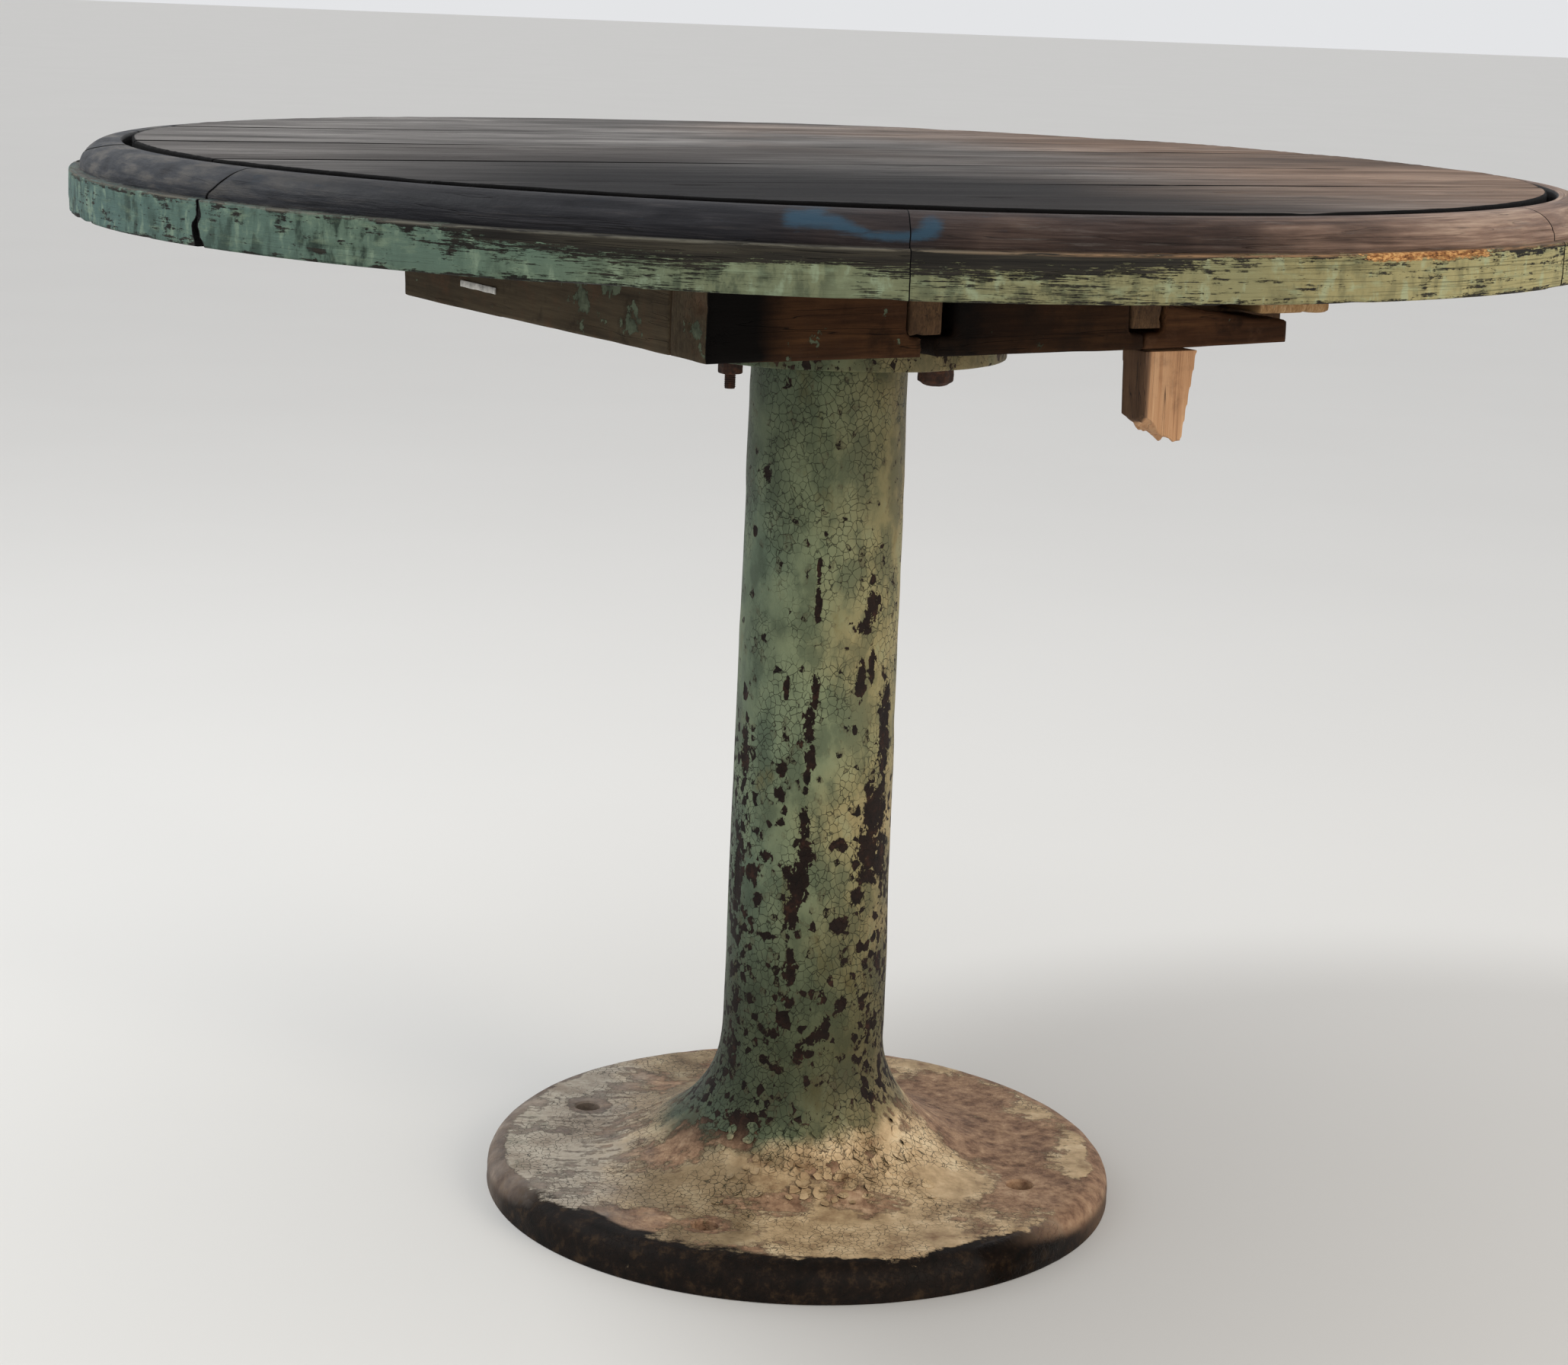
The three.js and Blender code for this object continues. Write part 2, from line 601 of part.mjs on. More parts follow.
function planks() {
  const disc = turned(
    [
      [0, TOP_UNDER_Z],
      [PLANK_LAP_R, TOP_UNDER_Z],
      [PLANK_LAP_R, LAP_Z + FIT],
      [PLANK_R, LAP_Z + FIT],
      [PLANK_R, FACE_Z],
      [0, FACE_Z],
    ],
    WIDE_STEPS,
  );
  const ringPlaces = ringScrewPlaces.map((at) => turnPoint(at, -PLANK_TURN));
  const framePlaces = FRAME_SCREWS.map((at) => turnPoint(at, FRAME_TURN - PLANK_TURN));
  const edges = [-RIM_R, ...PLANK_SEAMS, RIM_R];
  edges.slice(1).forEach((back, i) => {
    const strip = box(
      [-RIM_R, RIM_R],
      [edges[i] + SEAM / 2, back - SEAM / 2],
      [TOP_UNDER_Z - 1, FACE_Z + 1],
    );
    const screwed = drilled(
      drilled(disc.intersect(strip), ringPlaces, RING_SCREW_HEAD_Z, RING_SCREW_TIP_Z, TOP_UNDER_Z - 1),
      framePlaces,
      FRAME_SCREW_HEAD_Z,
      FRAME_SCREW_TIP_Z,
      BOARD_UNDER_Z,
    );
    add(deck, `top_plank_${i + 1}`, screwed, darkOak);
  });
}

// ---- Everything together ------------------------------------------------------------------

add(group, "pedestal_casting", pedestalCasting(), castPaint);
bearings();
spindleParts();
add(group, "hub_flange", hubFlange(), castPaint);
hubFasteners();
frontRun();
sideRuns();
joists();
add(underframe, "hub_board", hubBoard(), joistTimber);
add(underframe, "turning_peg", turningPeg(), freshTimber);
const strip = box([U0 - FIT - STRIP_THICK, U0 - FIT], STRIP_V, STRIP_Z);
add(underframe, "bearer_strip", strip, paleStrip);
frameScrews();
ringSegments();
planks();

export default group;
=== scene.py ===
"""The looks of a table-height banding wheel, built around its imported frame.

A planked timber head with a painted rim turns on a painted cast-iron pedestal.
Metres, +Z up, the origin on the floor on the column's axis, the front towards -Y.
"""

import itertools
import math

import bmesh
import bpy
import numpy as np
from mathutils import Matrix, Vector


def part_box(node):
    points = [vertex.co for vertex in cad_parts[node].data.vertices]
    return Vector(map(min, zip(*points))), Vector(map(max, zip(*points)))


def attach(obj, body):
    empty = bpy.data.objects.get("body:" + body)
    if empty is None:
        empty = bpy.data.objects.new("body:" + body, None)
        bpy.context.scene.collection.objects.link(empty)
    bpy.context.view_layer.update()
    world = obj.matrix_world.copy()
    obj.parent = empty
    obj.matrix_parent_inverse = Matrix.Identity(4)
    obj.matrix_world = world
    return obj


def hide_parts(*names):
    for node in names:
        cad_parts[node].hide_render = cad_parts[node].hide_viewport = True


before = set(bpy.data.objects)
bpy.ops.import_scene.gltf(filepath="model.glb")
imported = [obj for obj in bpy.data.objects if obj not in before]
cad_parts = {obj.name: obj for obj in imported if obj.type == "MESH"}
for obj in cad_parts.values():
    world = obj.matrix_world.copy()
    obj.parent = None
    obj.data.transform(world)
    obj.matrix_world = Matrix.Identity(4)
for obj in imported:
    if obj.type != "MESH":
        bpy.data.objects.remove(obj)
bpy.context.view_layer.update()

# ---- Dimensions ---------------------------------------------------------------------------


def low(node):
    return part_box(node)[0]


def high(node):
    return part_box(node)[1]


FACE_Z = high("top_plank_3").z
TOP_UNDER_Z = low("ring_segment_4").z
COLUMN_TOP_Z = high("pedestal_casting").z
FLANGE_UNDER_Z = low("hub_flange").z
BOSS_TOP_Z = high("hub_flange").z
BASE_R = high("pedestal_casting").x
RIM_R = high("ring_segment_4").x
FLANGE_R = high("hub_flange").x

# The top: the same levels and circles as the frame's
LEDGE_Z = 0.7295
LAP_Z = 0.724
CREST_Z = 0.748
MOULDING_R = 0.511
CREST_R = 0.489
RING_INNER_R = 0.483
LAP_INNER_R = 0.432
PLANK_R = 0.477
PLANK_LAP_R = 0.428
PLANK_TURN = 28
PLANK_SEAMS = (-0.262, -0.085, 0.092, 0.269)
SEAM = 0.0012
PLANK_LAP_RISE = 0.0003
RING_SCREW_CIRCLE_R = 0.45

# The underframe and the hub
FRAME_TURN = 32
BOLT_CIRCLE_R = 0.0985
BOLT_TURN = 47
HUB_BORE_R = 0.0201
FLANGE_THICK = 0.0137
BOSS_R_LOW = 0.044
BOSS_R_TOP = 0.040

# The pedestal
BASE_EDGE_Z = 0.027
BASE_ROUND = 0.016
COLUMN_R_TOP = 0.055
COLUMN_R_LOW = 0.059
FLARE_W = 0.105
FLARE_TOP_Z = 0.119
FLARE_R = COLUMN_R_LOW + FLARE_W
CORE_R = 0.045
BUSH_SEAT_R = 0.0383
FLOOR_HOLE_R = 0.009
FLOOR_HOLE_CIRCLE_R = 0.172
FLOOR_HOLE_TURN = 69

# The bearings
BUSH_R = 0.038
BUSH_BORE_R = 0.02506
BUSH_MOUTH_R = 0.0255
BUSH_FLANGE = 0.0029
THRUST_BORE_R = 0.026
SPINDLE_WASHER_BORE_R = 0.0124
BEVEL = 0.0004

# The fastenings: a size FLATS is across a hexagon's flats
BOLT_HOLE_R = 0.0067
BOLT_R = 0.004
BOLT_PITCH = 0.00125
BOLT_FLATS = 0.013
NUT_FLATS = 0.015
NUT_BORE_R = 0.0043
COACH_FLATS = 0.022
COACH_HEAD_Z = 0.604
COACH_SHANK_R = 0.006
SCREW_HEAD_R = 0.0055
SCREW_SHANK_R = 0.0026
SCREW_SLOT = 0.0012

# Mesh fineness
FINE = 0.002
MEDIUM = 0.0035
RIM_STEP = 0.0045
COARSE = 0.02

# ---- Numbers ------------------------------------------------------------------------------


def lattice(cells, seed):
    """A repeatable random number from -1 to 1 for each whole-numbered cell."""
    mixed = (cells * np.array([73856093, 19349663, 83492791])).sum(-1) + seed * 668265263
    mixed = (mixed ^ (mixed >> 13)) * 1274126177
    mixed = (mixed ^ (mixed >> 16)) & 0xFFFFFF
    return mixed / 0x7FFFFF - 1.0


def noise(points, size, seed=0):
    """Smooth noise from -1 to 1. Size is how far apart its features are: a number, or one per axis."""
    scaled = np.asarray(points, float) / np.asarray(size, float)
    cell = np.floor(scaled).astype(np.int64)
    part = scaled - cell
    part = part * part * (3 - 2 * part)
    total = 0.0
    for corner in itertools.product((0, 1), repeat=3):
        weight = np.prod(np.where(corner, part, 1 - part), axis=-1)
        total = total + weight * lattice(cell + np.array(corner), seed)
    return total


def joined(*parts):
    """Arrays or numbers side by side as the coordinates of points."""
    return np.stack(np.broadcast_arrays(*parts), axis=-1)


def rise(value, start, stop):
    """0 below start and 1 above stop, with a smooth climb between them."""
    share = np.clip((np.asarray(value, float) - start) / (stop - start), 0, 1)
    return share * share * (3 - 2 * share)


def turned(points, degrees):
    """Points turned about the vertical axis."""
    cos, sin = math.cos(math.radians(degrees)), math.sin(math.radians(degrees))
    x, y, z = np.asarray(points, float).T
    return joined(x * cos - y * sin, x * sin + y * cos, z)


def polar(radius, degrees, height=0.0):
    turn = math.radians(degrees)
    return np.array([radius * math.cos(turn), radius * math.sin(turn), height])


def quarters(radius, degrees, height=0.0):
    """Four places a quarter turn apart."""
    return [polar(radius, degrees + 90 * quarter, height) for quarter in range(4)]


def from_axis(points):
    return np.hypot(points[:, 0], points[:, 1])


# ---- Outlines -----------------------------------------------------------------------------


def arc(centre, radii, start, stop, steps):
    """Points of an elliptical arc in an outline, from one angle to another in degrees."""
    turns = np.radians(np.linspace(start, stop, steps + 1))
    return [(centre[0] + radii[0] * math.cos(t), centre[1] + radii[1] * math.sin(t)) for t in turns]


def corner(at, before, after, radius, steps=4):
    """A rounded corner: before and after are the directions of its two sides, away from it."""
    at, before, after = (np.array(v, float) for v in (at, before, after))
    start, stop = at + before * radius, at + after * radius
    shares = np.linspace(0, 1, steps + 1)
    return [tuple(start * (1 - t) ** 2 + 2 * at * t * (1 - t) + stop * t * t) for t in shares]


def rod(radius, bottom, top):
    """The (radius, height) outline of a plain round rod."""
    return [(0, bottom), (radius, bottom), (radius, top), (0, top)]


def spaced(outline, step):
    """The outline with points added, so that none are further apart than step."""
    dense = []
    for a, b in zip(outline, outline[1:]):
        a, b = np.array(a, float), np.array(b, float)
        count = max(1, math.ceil(np.linalg.norm(b - a) / step))
        dense += [tuple(a + (b - a) * k / count) for k in range(count)]
    return dense + [tuple(outline[-1])]


# ---- Meshes -------------------------------------------------------------------------------


def mesh_object(name, points, faces):
    mesh = bpy.data.meshes.new(name)
    mesh.from_pydata(np.asarray(points).tolist(), [], faces)
    tidied = bmesh.new()
    tidied.from_mesh(mesh)
    bmesh.ops.remove_doubles(tidied, verts=tidied.verts, dist=1e-6)
    bmesh.ops.recalc_face_normals(tidied, faces=tidied.faces)
    tidied.to_mesh(mesh)
    tidied.free()
    made = bpy.data.objects.new(name, mesh)
    bpy.context.scene.collection.objects.link(made)
    return made


def loft(sections, wrap=False):
    """Faces of a body through closed sections with equal counts of points, capped unless it wraps."""
    count, size = sections.shape[:2]
    index = np.arange(count * size).reshape(count, size)
    here, there = (index, np.roll(index, -1, 0)) if wrap else (index[:-1], index[1:])
    quads = np.stack([here, np.roll(here, -1, 1), np.roll(there, -1, 1), there], -1).reshape(-1, 4)
    caps = [] if wrap else [index[0][::-1].tolist(), index[-1].tolist()]
    return sections.reshape(-1, 3), quads.tolist() + caps


def lathe(name, outline, steps, at=(0, 0, 0), turn=0.0):
    """A body turned about the vertical through a place, from a closed (radius, height) outline."""
    angles = np.radians(turn + np.arange(steps) * 360 / steps)[:, None]
    radius, height = np.array(outline, float).T
    x, y = at[0] + radius * np.cos(angles), at[1] + radius * np.sin(angles)
    return mesh_object(name, *loft(joined(x, y, at[2] + height), wrap=True))


def settled(thing):
    """Applies an object's modifiers to its mesh."""
    graph = bpy.context.evaluated_depsgraph_get()
    mesh = bpy.data.meshes.new_from_object(thing.evaluated_get(graph))
    old, name = thing.data, thing.data.name
    thing.modifiers.clear()
    thing.data = mesh
    bpy.data.meshes.remove(old)
    mesh.name = name
    return thing


def combined(thing, tool, operation):
    """Cuts, joins or intersects a body with a tool, which is used up."""
    boolean = thing.modifiers.new("combine", "BOOLEAN")
    boolean.operation = operation
    boolean.solver = "MANIFOLD"
    boolean.object = tool
    settled(thing)
    bpy.data.objects.remove(tool)
    return thing


def bored(thing, outline, steps, at):
    """Cuts a turned hole into a body."""
    return combined(thing, lathe("hole", outline, steps, at), "DIFFERENCE")


def points_of(thing, field="co"):
    """A mesh's points, or with the field "normal" their normals."""
    flat = np.zeros(len(thing.data.vertices) * 3)
    thing.data.vertices.foreach_get(field, flat)
    return flat.reshape(-1, 3)


def move_points(thing, points):
    thing.data.vertices.foreach_set("co", np.ascontiguousarray(points, float).ravel())
    thing.data.update()


def swollen(thing, out):
    """Moves each point of a mesh outwards along its normal."""
    move_points(thing, points_of(thing) + points_of(thing, "normal") * out[:, None])
    return thing


def mark(thing, **marks):
    """Stores numbers or vectors at the points of a mesh for its material to read."""
    for name, values in marks.items():
        values = np.asarray(values, np.float32)
        if values.ndim == 0:
            values = np.full(len(thing.data.vertices), values)
        kind, field = ("FLOAT", "value") if values.ndim == 1 else ("FLOAT_VECTOR", "vector")
        stored = thing.data.attributes.new(name, kind, "POINT")
        stored.data.foreach_set(field, values.ravel())


def shown(thing, body, finish, replaced=(), crease=38):
    """Gives a finished mesh its material and the body that it rides on."""
    thing.data.shade_smooth()
    thing.data.set_sharp_from_angle(angle=math.radians(crease))
    thing.data.materials.clear()
    thing.data.materials.append(finish)
    if replaced:
        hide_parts(*replaced)
    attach(thing, body)
    return thing


def spots(points, places):
    """The strongest of several soft spots of (centre, radii), each 1 at its centre and 0 at its edge."""
    best = np.zeros(len(points))
    for centre, radii in places:
        away = np.linalg.norm((points - np.array(centre)) / np.array(radii), axis=1)
        best = np.maximum(best, 1 - away)
    return best


# ---- Shader building ----------------------------------------------------------------------


def tone(text):
    """A linear colour from a six-digit hexadecimal one."""
    parts = [int(text[i : i + 2], 16) / 255 for i in (0, 2, 4)]
    linear = [p / 12.92 if p <= 0.04045 else ((p + 0.055) / 1.055) ** 2.4 for p in parts]
    return (*linear, 1.0)


class Finish:
    """One procedural material, built with short calls that add and join shader nodes."""

    def __init__(self, name, roughness=0.6, metallic=0.0, specular=0.5):
        self.material = bpy.data.materials.new(name)
        self.material.use_nodes = True
        self.tree = self.material.node_tree
        self.shader = self.tree.nodes["Principled BSDF"]
        self.shader.inputs["Roughness"].default_value = roughness
        self.shader.inputs["Metallic"].default_value = metallic
        self.shader.inputs["Specular IOR Level"].default_value = specular
        self.place = self.node("TexCoord", {}).outputs["Object"]

    def plug(self, value, socket):
        """Sets a socket or links it. A colour is six hexadecimal digits."""
        if isinstance(value, bpy.types.NodeSocket):
            self.tree.links.new(value, socket)
        else:
            socket.default_value = tone(value) if isinstance(value, str) else value

    def node(self, kind, inputs, **settings):
        made = self.tree.nodes.new("ShaderNode" + kind)
        for name, value in settings.items():
            setattr(made, name, value)
        for name, value in inputs.items():
            self.plug(value, made.inputs[name])
        return made

    def math(self, operation, a, b=0.0):
        return self.node("Math", {0: a, 1: b}, operation=operation).outputs[0]

    def total(self, *parts):
        """The sum of (value, weight) pairs."""
        added = 0.0
        for value, weight in parts:
            made = self.node("Math", {0: value, 1: weight, 2: added}, operation="MULTIPLY_ADD")
            added = made.outputs[0]
        return added

    def both(self, a, b):
        return self.math("MULTIPLY", a, b)

    def either(self, a, b):
        return self.math("MAXIMUM", a, b)

    def opposite(self, value):
        return self.math("SUBTRACT", 1.0, value)

    def axis(self, name, vector=None):
        parts = self.node("SeparateXYZ", {0: self.place if vector is None else vector})
        return parts.outputs[name]

    def grain(self):
        """The place along and across the grain, stored at each point."""
        return self.node("Attribute", {}, attribute_name="grain").outputs["Vector"]

    def stored(self, *names):
        """The numbers stored at each point under these names."""
        return [self.node("Attribute", {}, attribute_name=name).outputs["Fac"] for name in names]

    def stretched(self, vector, size):
        size = size if isinstance(size, tuple) else (size,) * 3
        scale = tuple(1 / s for s in size)
        return self.node("VectorMath", {0: vector, 1: scale}, operation="MULTIPLY").outputs[0]

    def noise(self, vector, size, detail=3.0, seed=0.0, roughness=0.5, bend=0.0):
        """Noise from 0 to 1 with features about size across: a number, or one per axis."""
        inputs = {
            "Vector": self.stretched(vector, size),
            "W": seed,
            "Scale": 1.0,
            "Detail": detail,
            "Roughness": roughness,
            "Distortion": bend,
        }
        return self.node("TexNoise", inputs, noise_dimensions="4D").outputs["Fac"]

    def cells(self, vector, size, feature="DISTANCE_TO_EDGE"):
        inputs = {"Vector": self.stretched(vector, size), "Scale": 1.0}
        return self.node("TexVoronoi", inputs, feature=feature).outputs["Distance"]

    def cell_colour(self, vector, size):
        """A random colour for each cell of the same pattern."""
        inputs = {"Vector": self.stretched(vector, size), "Scale": 1.0}
        return self.node("TexVoronoi", inputs, feature="F1").outputs["Color"]

    def wobbled(self, vector, size, reach):
        """The vector moved about by noise, so that straight patterns turn ragged."""
        inputs = {"Vector": self.stretched(vector, size), "Scale": 1.0, "Detail": 2.0}
        shift = self.node("TexNoise", inputs).outputs["Color"]
        centred = self.node("VectorMath", {0: shift, 1: (0.5,) * 3}, operation="SUBTRACT").outputs[0]
        scaled = self.node("VectorMath", {0: centred, "Scale": reach}, operation="SCALE").outputs[0]
        return self.node("VectorMath", {0: vector, 1: scaled}, operation="ADD").outputs[0]

    def rise(self, value, start, stop):
        """0 at start and 1 at stop, with a smooth climb between them; start may be the larger."""
        inputs = {"Value": value, "From Min": start, "From Max": stop}
        return self.node("MapRange", inputs, interpolation_type="SMOOTHSTEP").outputs[0]

    def mix(self, share, a, b):
        return self.node("Mix", {0: share, 6: a, 7: b}, data_type="RGBA").outputs[2]

    def over(self, base, colour, value, start, stop, amount=None):
        """The base with a colour over it, as far as the value has gone from start to stop."""
        share = self.rise(value, start, stop)
        return self.mix(share if amount is None else self.both(share, amount), base, colour)

    def ramp(self, share, *stops):
        """A colour from stops of (place, colour)."""
        made = self.node("ValToRGB", {0: share})
        elements = made.color_ramp.elements
        while len(elements) < len(stops):
            elements.new(0.5)
        for element, (place, colour) in zip(elements, stops):
            element.position = place
            element.color = tone(colour)
        return made.outputs[0]

    def relief(self, *layers):
        """Stacks bump layers of (height, depth in metres) and plugs them into the shader."""
        normal = None
        for height, depth in layers:
            inputs = {"Height": height, "Distance": depth, "Strength": 1.0}
            if normal is not None:
                inputs["Normal"] = normal
            normal = self.node("Bump", inputs).outputs[0]
        self.plug(normal, self.shader.inputs["Normal"])

    def colour(self, value):
        self.plug(value, self.shader.inputs["Base Color"])

    def rough(self, value):
        self.plug(value, self.shader.inputs["Roughness"])


# ---- Materials ----------------------------------------------------------------------------


# Cast iron is bare where the noises and the stored wear add up to more than this.
BARE_AT = 0.782


def green_coat(f, across, broad, mottle, foot):
    """The column's green: cooler at the left and ochre at the right, partly its paint and partly painted
    light, which lightens the right; painted shade darkens the top and low down.
    """
    ochre = f.noise(f.place, (0.03, 0.03, 0.06), detail=5, seed=9, roughness=0.6)
    # The paint's own cool-to-ochre tones, with painted light making them lighter towards the right.
    side = f.total((across, 7.0), (broad, 0.8), (mottle, 0.35), (-0.05, 1.0))
    green = f.ramp(side, (0.15, "677863"), (0.5, "7b8465"), (0.8, "8f865f"), (1.0, "a39169"))
    green = f.over(green, "3a4434", mottle, 0.55, 0.4, 0.5)
    green = f.over(green, "8b9676", mottle, 0.52, 0.66, 0.4)
    green = f.over(green, "6b5a2c", ochre, 0.56, 0.72, 0.6)
    height = f.axis("Z")
    # Painted shade: darker low down on the column and at its top under the head.
    shaded_low = f.both(f.rise(height, 0.3, 0.12), f.opposite(foot))
    shaded_high = f.rise(height, 0.44, 0.6)
    return f.mix(f.total((shaded_low, 0.7), (shaded_high, 0.5)), green, "2c2f1d")


def beige_coat(f, ground, painted_cool_light):
    """The foot's beige, greyer at the left where painted cool light falls."""
    cloud = f.noise(f.place, 0.03, detail=9, seed=13, roughness=0.66)
    beige = f.ramp(cloud, (0.34, "88694b"), (0.45, "b79c77"), (0.54, "d2b68e"), (0.66, "ead3ac"))
    return f.mix(painted_cool_light, beige, f.ramp(ground, (0.38, "8c7e6e"), (0.6, "cbc2b1")))


def cast_wear(f, wear, foot, ground, each):
    """How near the paint is to being gone, and where the iron is bare."""
    chip_noise = f.noise(f.place, (0.006, 0.006, 0.009), detail=7, seed=6, roughness=0.7)
    chipped = f.total((chip_noise, 0.6), (each, 0.5), (-0.05, 1.0), (wear, 1.0))
    wiped = f.noise(f.place, (0.03, 0.004, 0.012), detail=6, seed=14, roughness=0.7)
    scoured = f.total((ground, 1.7), (chip_noise, 0.3), (wiped, 0.5), (-0.75, 1.0), (wear, 1.0))
    on_foot = f.rise(foot, 0.3, 0.6)
    ragged = f.total((chipped, f.opposite(on_foot)), (scoured, on_foot))
    softness = f.total((on_foot, 0.05), (0.007, 1.0))
    start, stop = f.math("SUBTRACT", BARE_AT, softness), f.math("ADD", BARE_AT, softness)
    speck = f.noise(f.place, (0.0022, 0.0022, 0.003), detail=4, seed=8, roughness=0.65)
    specks = f.total((speck, 1.0), (wear, 0.75), (chip_noise, 0.5), (on_foot, -0.25))
    return ragged, f.either(f.rise(ragged, start, stop), f.rise(specks, 0.97, 0.99))


def bare_iron(f, rust, ground, painted_cool_light, foot, soot):
    """Iron: dark on the column, worn brown and grey on the foot, the grey at the left under painted cool
    light, blackest where the base's edge is darkened, partly painted shade.
    """
    iron = f.ramp(rust, (0.35, "110b08"), (0.55, "20140f"), (0.72, "442a1e"))
    mixed = f.total((rust, 0.7), (ground, 0.3))
    worn = f.ramp(mixed, (0.36, "503829"), (0.45, "84654f"), (0.55, "af8d6f"), (0.66, "d5b695"))
    grey = f.ramp(ground, (0.38, "4f4944"), (0.52, "75706a"), (0.64, "a09a90"))
    # Grey at the left, under painted cool light.
    iron = f.over(iron, f.mix(f.both(painted_cool_light, 0.75), worn, grey), foot, 0.25, 0.95)
    # Near-black where the base's edge is darkened: dark iron there, and painted shade.
    dark = f.ramp(rust, (0.35, "090603"), (0.52, "180f09"), (0.7, "40301f"))
    return f.over(iron, dark, f.total((soot, 1.0), (rust, 0.7)), 0.55, 1.15)


def cast_paint():
    """Old green paint on cast iron: crackled, chipped to dark iron, beige and brown at the foot."""
    f = Finish("cast_paint", specular=0.15)
    wear, foot, soot, rubbed = f.stored("wear", "foot", "soot", "rubbed")
    across = f.axis("X")
    broad = f.noise(f.place, 0.09, detail=3, seed=1)
    mottle = f.noise(f.place, (0.02, 0.02, 0.035), detail=7, seed=2, roughness=0.6)
    ground = f.noise(f.place, 0.055, detail=11, seed=12, roughness=0.68)
    rust = f.noise(f.place, 0.011, detail=8, seed=7, roughness=0.7)
    # Painted cool light: 1 at the left of the foot, where the paint and bare iron turn greyer.
    painted_cool_light = f.rise(f.total((across, -6.0), (mottle, 0.5)), 0.75, 1.2)
    green = green_coat(f, across, broad, mottle, foot)
    paint = f.over(green, beige_coat(f, ground, painted_cool_light), f.total((foot, 1.0), (mottle, 0.7)), 0.85, 1.2)
    from_shade = f.math("ABSOLUTE", f.math("ADD", across, 0.075))
    shade = f.total((from_shade, -16.0), (ground, 1.0), (foot, 1.2))
    paint = f.over(paint, "4f4630", shade, 0.65, 1.15, 0.5)
    jagged = f.wobbled(f.place, 0.004, 0.003)
    flake = (0.0048, 0.0048, 0.006)
    patchy = f.rise(f.noise(f.place, (0.04, 0.04, 0.07), detail=5, seed=5), 0.40, 0.54)
    crack = f.both(f.rise(f.cells(jagged, flake), 0.05, 0.01), patchy)
    paint = f.mix(f.both(crack, 0.85), paint, "24261b")
    each = f.axis("X", f.cell_colour(jagged, flake))
    ragged, bare = cast_wear(f, wear, foot, ground, each)
    coat = f.opposite(bare)
    paint = f.mix(f.both(f.both(f.rise(ragged, 0.70, 0.775), coat), 0.45), paint, "4a3e2c")
    f.colour(f.mix(bare, paint, bare_iron(f, rust, ground, painted_cool_light, foot, soot)))
    shine = f.rise(f.total((rubbed, 1.0), (rust, 0.6)), 0.6, 1.1)
    f.rough(f.total((bare, 0.12), (mottle, 0.25), (0.4, 1.0), (shine, -0.42)))
    f.plug(f.both(bare, f.both(shine, 0.8)), f.shader.inputs["Metallic"])
    f.relief((mottle, 0.0006), (coat, 0.0006), (f.opposite(crack), 0.00025), (rust, 0.0004))
    return f.material


def wood_grain(f, grain, dark, middle, light, seed=0.0, tight=0.0011, bold=1.0):
    """Straight weathered grain: its colour, and its height from 0 to 1."""
    streak = f.noise(grain, (0.16, 0.0035, 0.012), detail=6, seed=seed, roughness=0.62, bend=0.15)
    fibre = f.noise(grain, (0.045, tight, 0.003), detail=4, seed=seed + 3, roughness=0.6)
    patch = f.noise(grain, (0.2, 0.05, 0.05), detail=4, seed=seed + 5)
    lift = 1 - 0.95 * bold
    value = f.total((streak, 0.5 * bold), (fibre, 0.45 * bold), (patch, 0.5), (lift, 0.5), (-0.25, 1.0))
    colour = f.ramp(value, (0.3, dark), (0.48, middle), (0.68, light))
    split = f.noise(grain, (0.35, 0.010, 0.012), detail=3, seed=seed + 9, roughness=0.55)
    off = f.math("ABSOLUTE", f.math("SUBTRACT", split, 0.5))
    check = f.both(f.rise(off, 0.005, 0.0), f.rise(patch, 0.45, 0.6))
    height = f.total((fibre, 0.6), (streak, 0.5), (check, -1.0))
    return f.mix(f.both(check, 0.8), colour, "0b0908"), height


def band_coat(f, grain, across, broad, mottle, lined, brushed):
    """The rim band's paint: blue-green at the left, yellower to the right, smudged and scored; the ramp
    is partly the paint's own tones and partly painted light, lighter to the right.
    """
    # Partly painted light: the ramp grows lighter towards the right.
    tones = (0.0, "4f6964"), (0.3, "5f7363"), (0.52, "6f7459"), (0.78, "867f5a"), (1.0, "a49c70")
    paint = f.ramp(f.total((across, 1.0), (broad, 0.35), (0.33, 1.0)), *tones)
    smudge = f.noise(grain, (0.010, 0.03, 0.03), detail=6, seed=15, roughness=0.6)
    strength = f.total((lined, -0.5), (brushed, -0.3), (0.85, 1.0))
    smudged = f.both(f.both(f.rise(smudge, 0.48, 0.62), strength), f.rise(broad, 0.36, 0.58))
    paint = f.mix(smudged, paint, "1f2b25")
    paint = f.over(paint, "9db096", smudge, 0.47, 0.36, 0.35)
    hairs = f.noise(grain, (0.09, 0.003, 0.0012), detail=5, seed=22, roughness=0.6)
    scoring = f.total((lined, 0.5), (brushed, 0.12), (0.03, 1.0))
    paint = f.over(paint, "3a3a26", hairs, 0.52, 0.6, scoring)
    return f.over(paint, "93a487", mottle, 0.5, 0.72, 0.35)


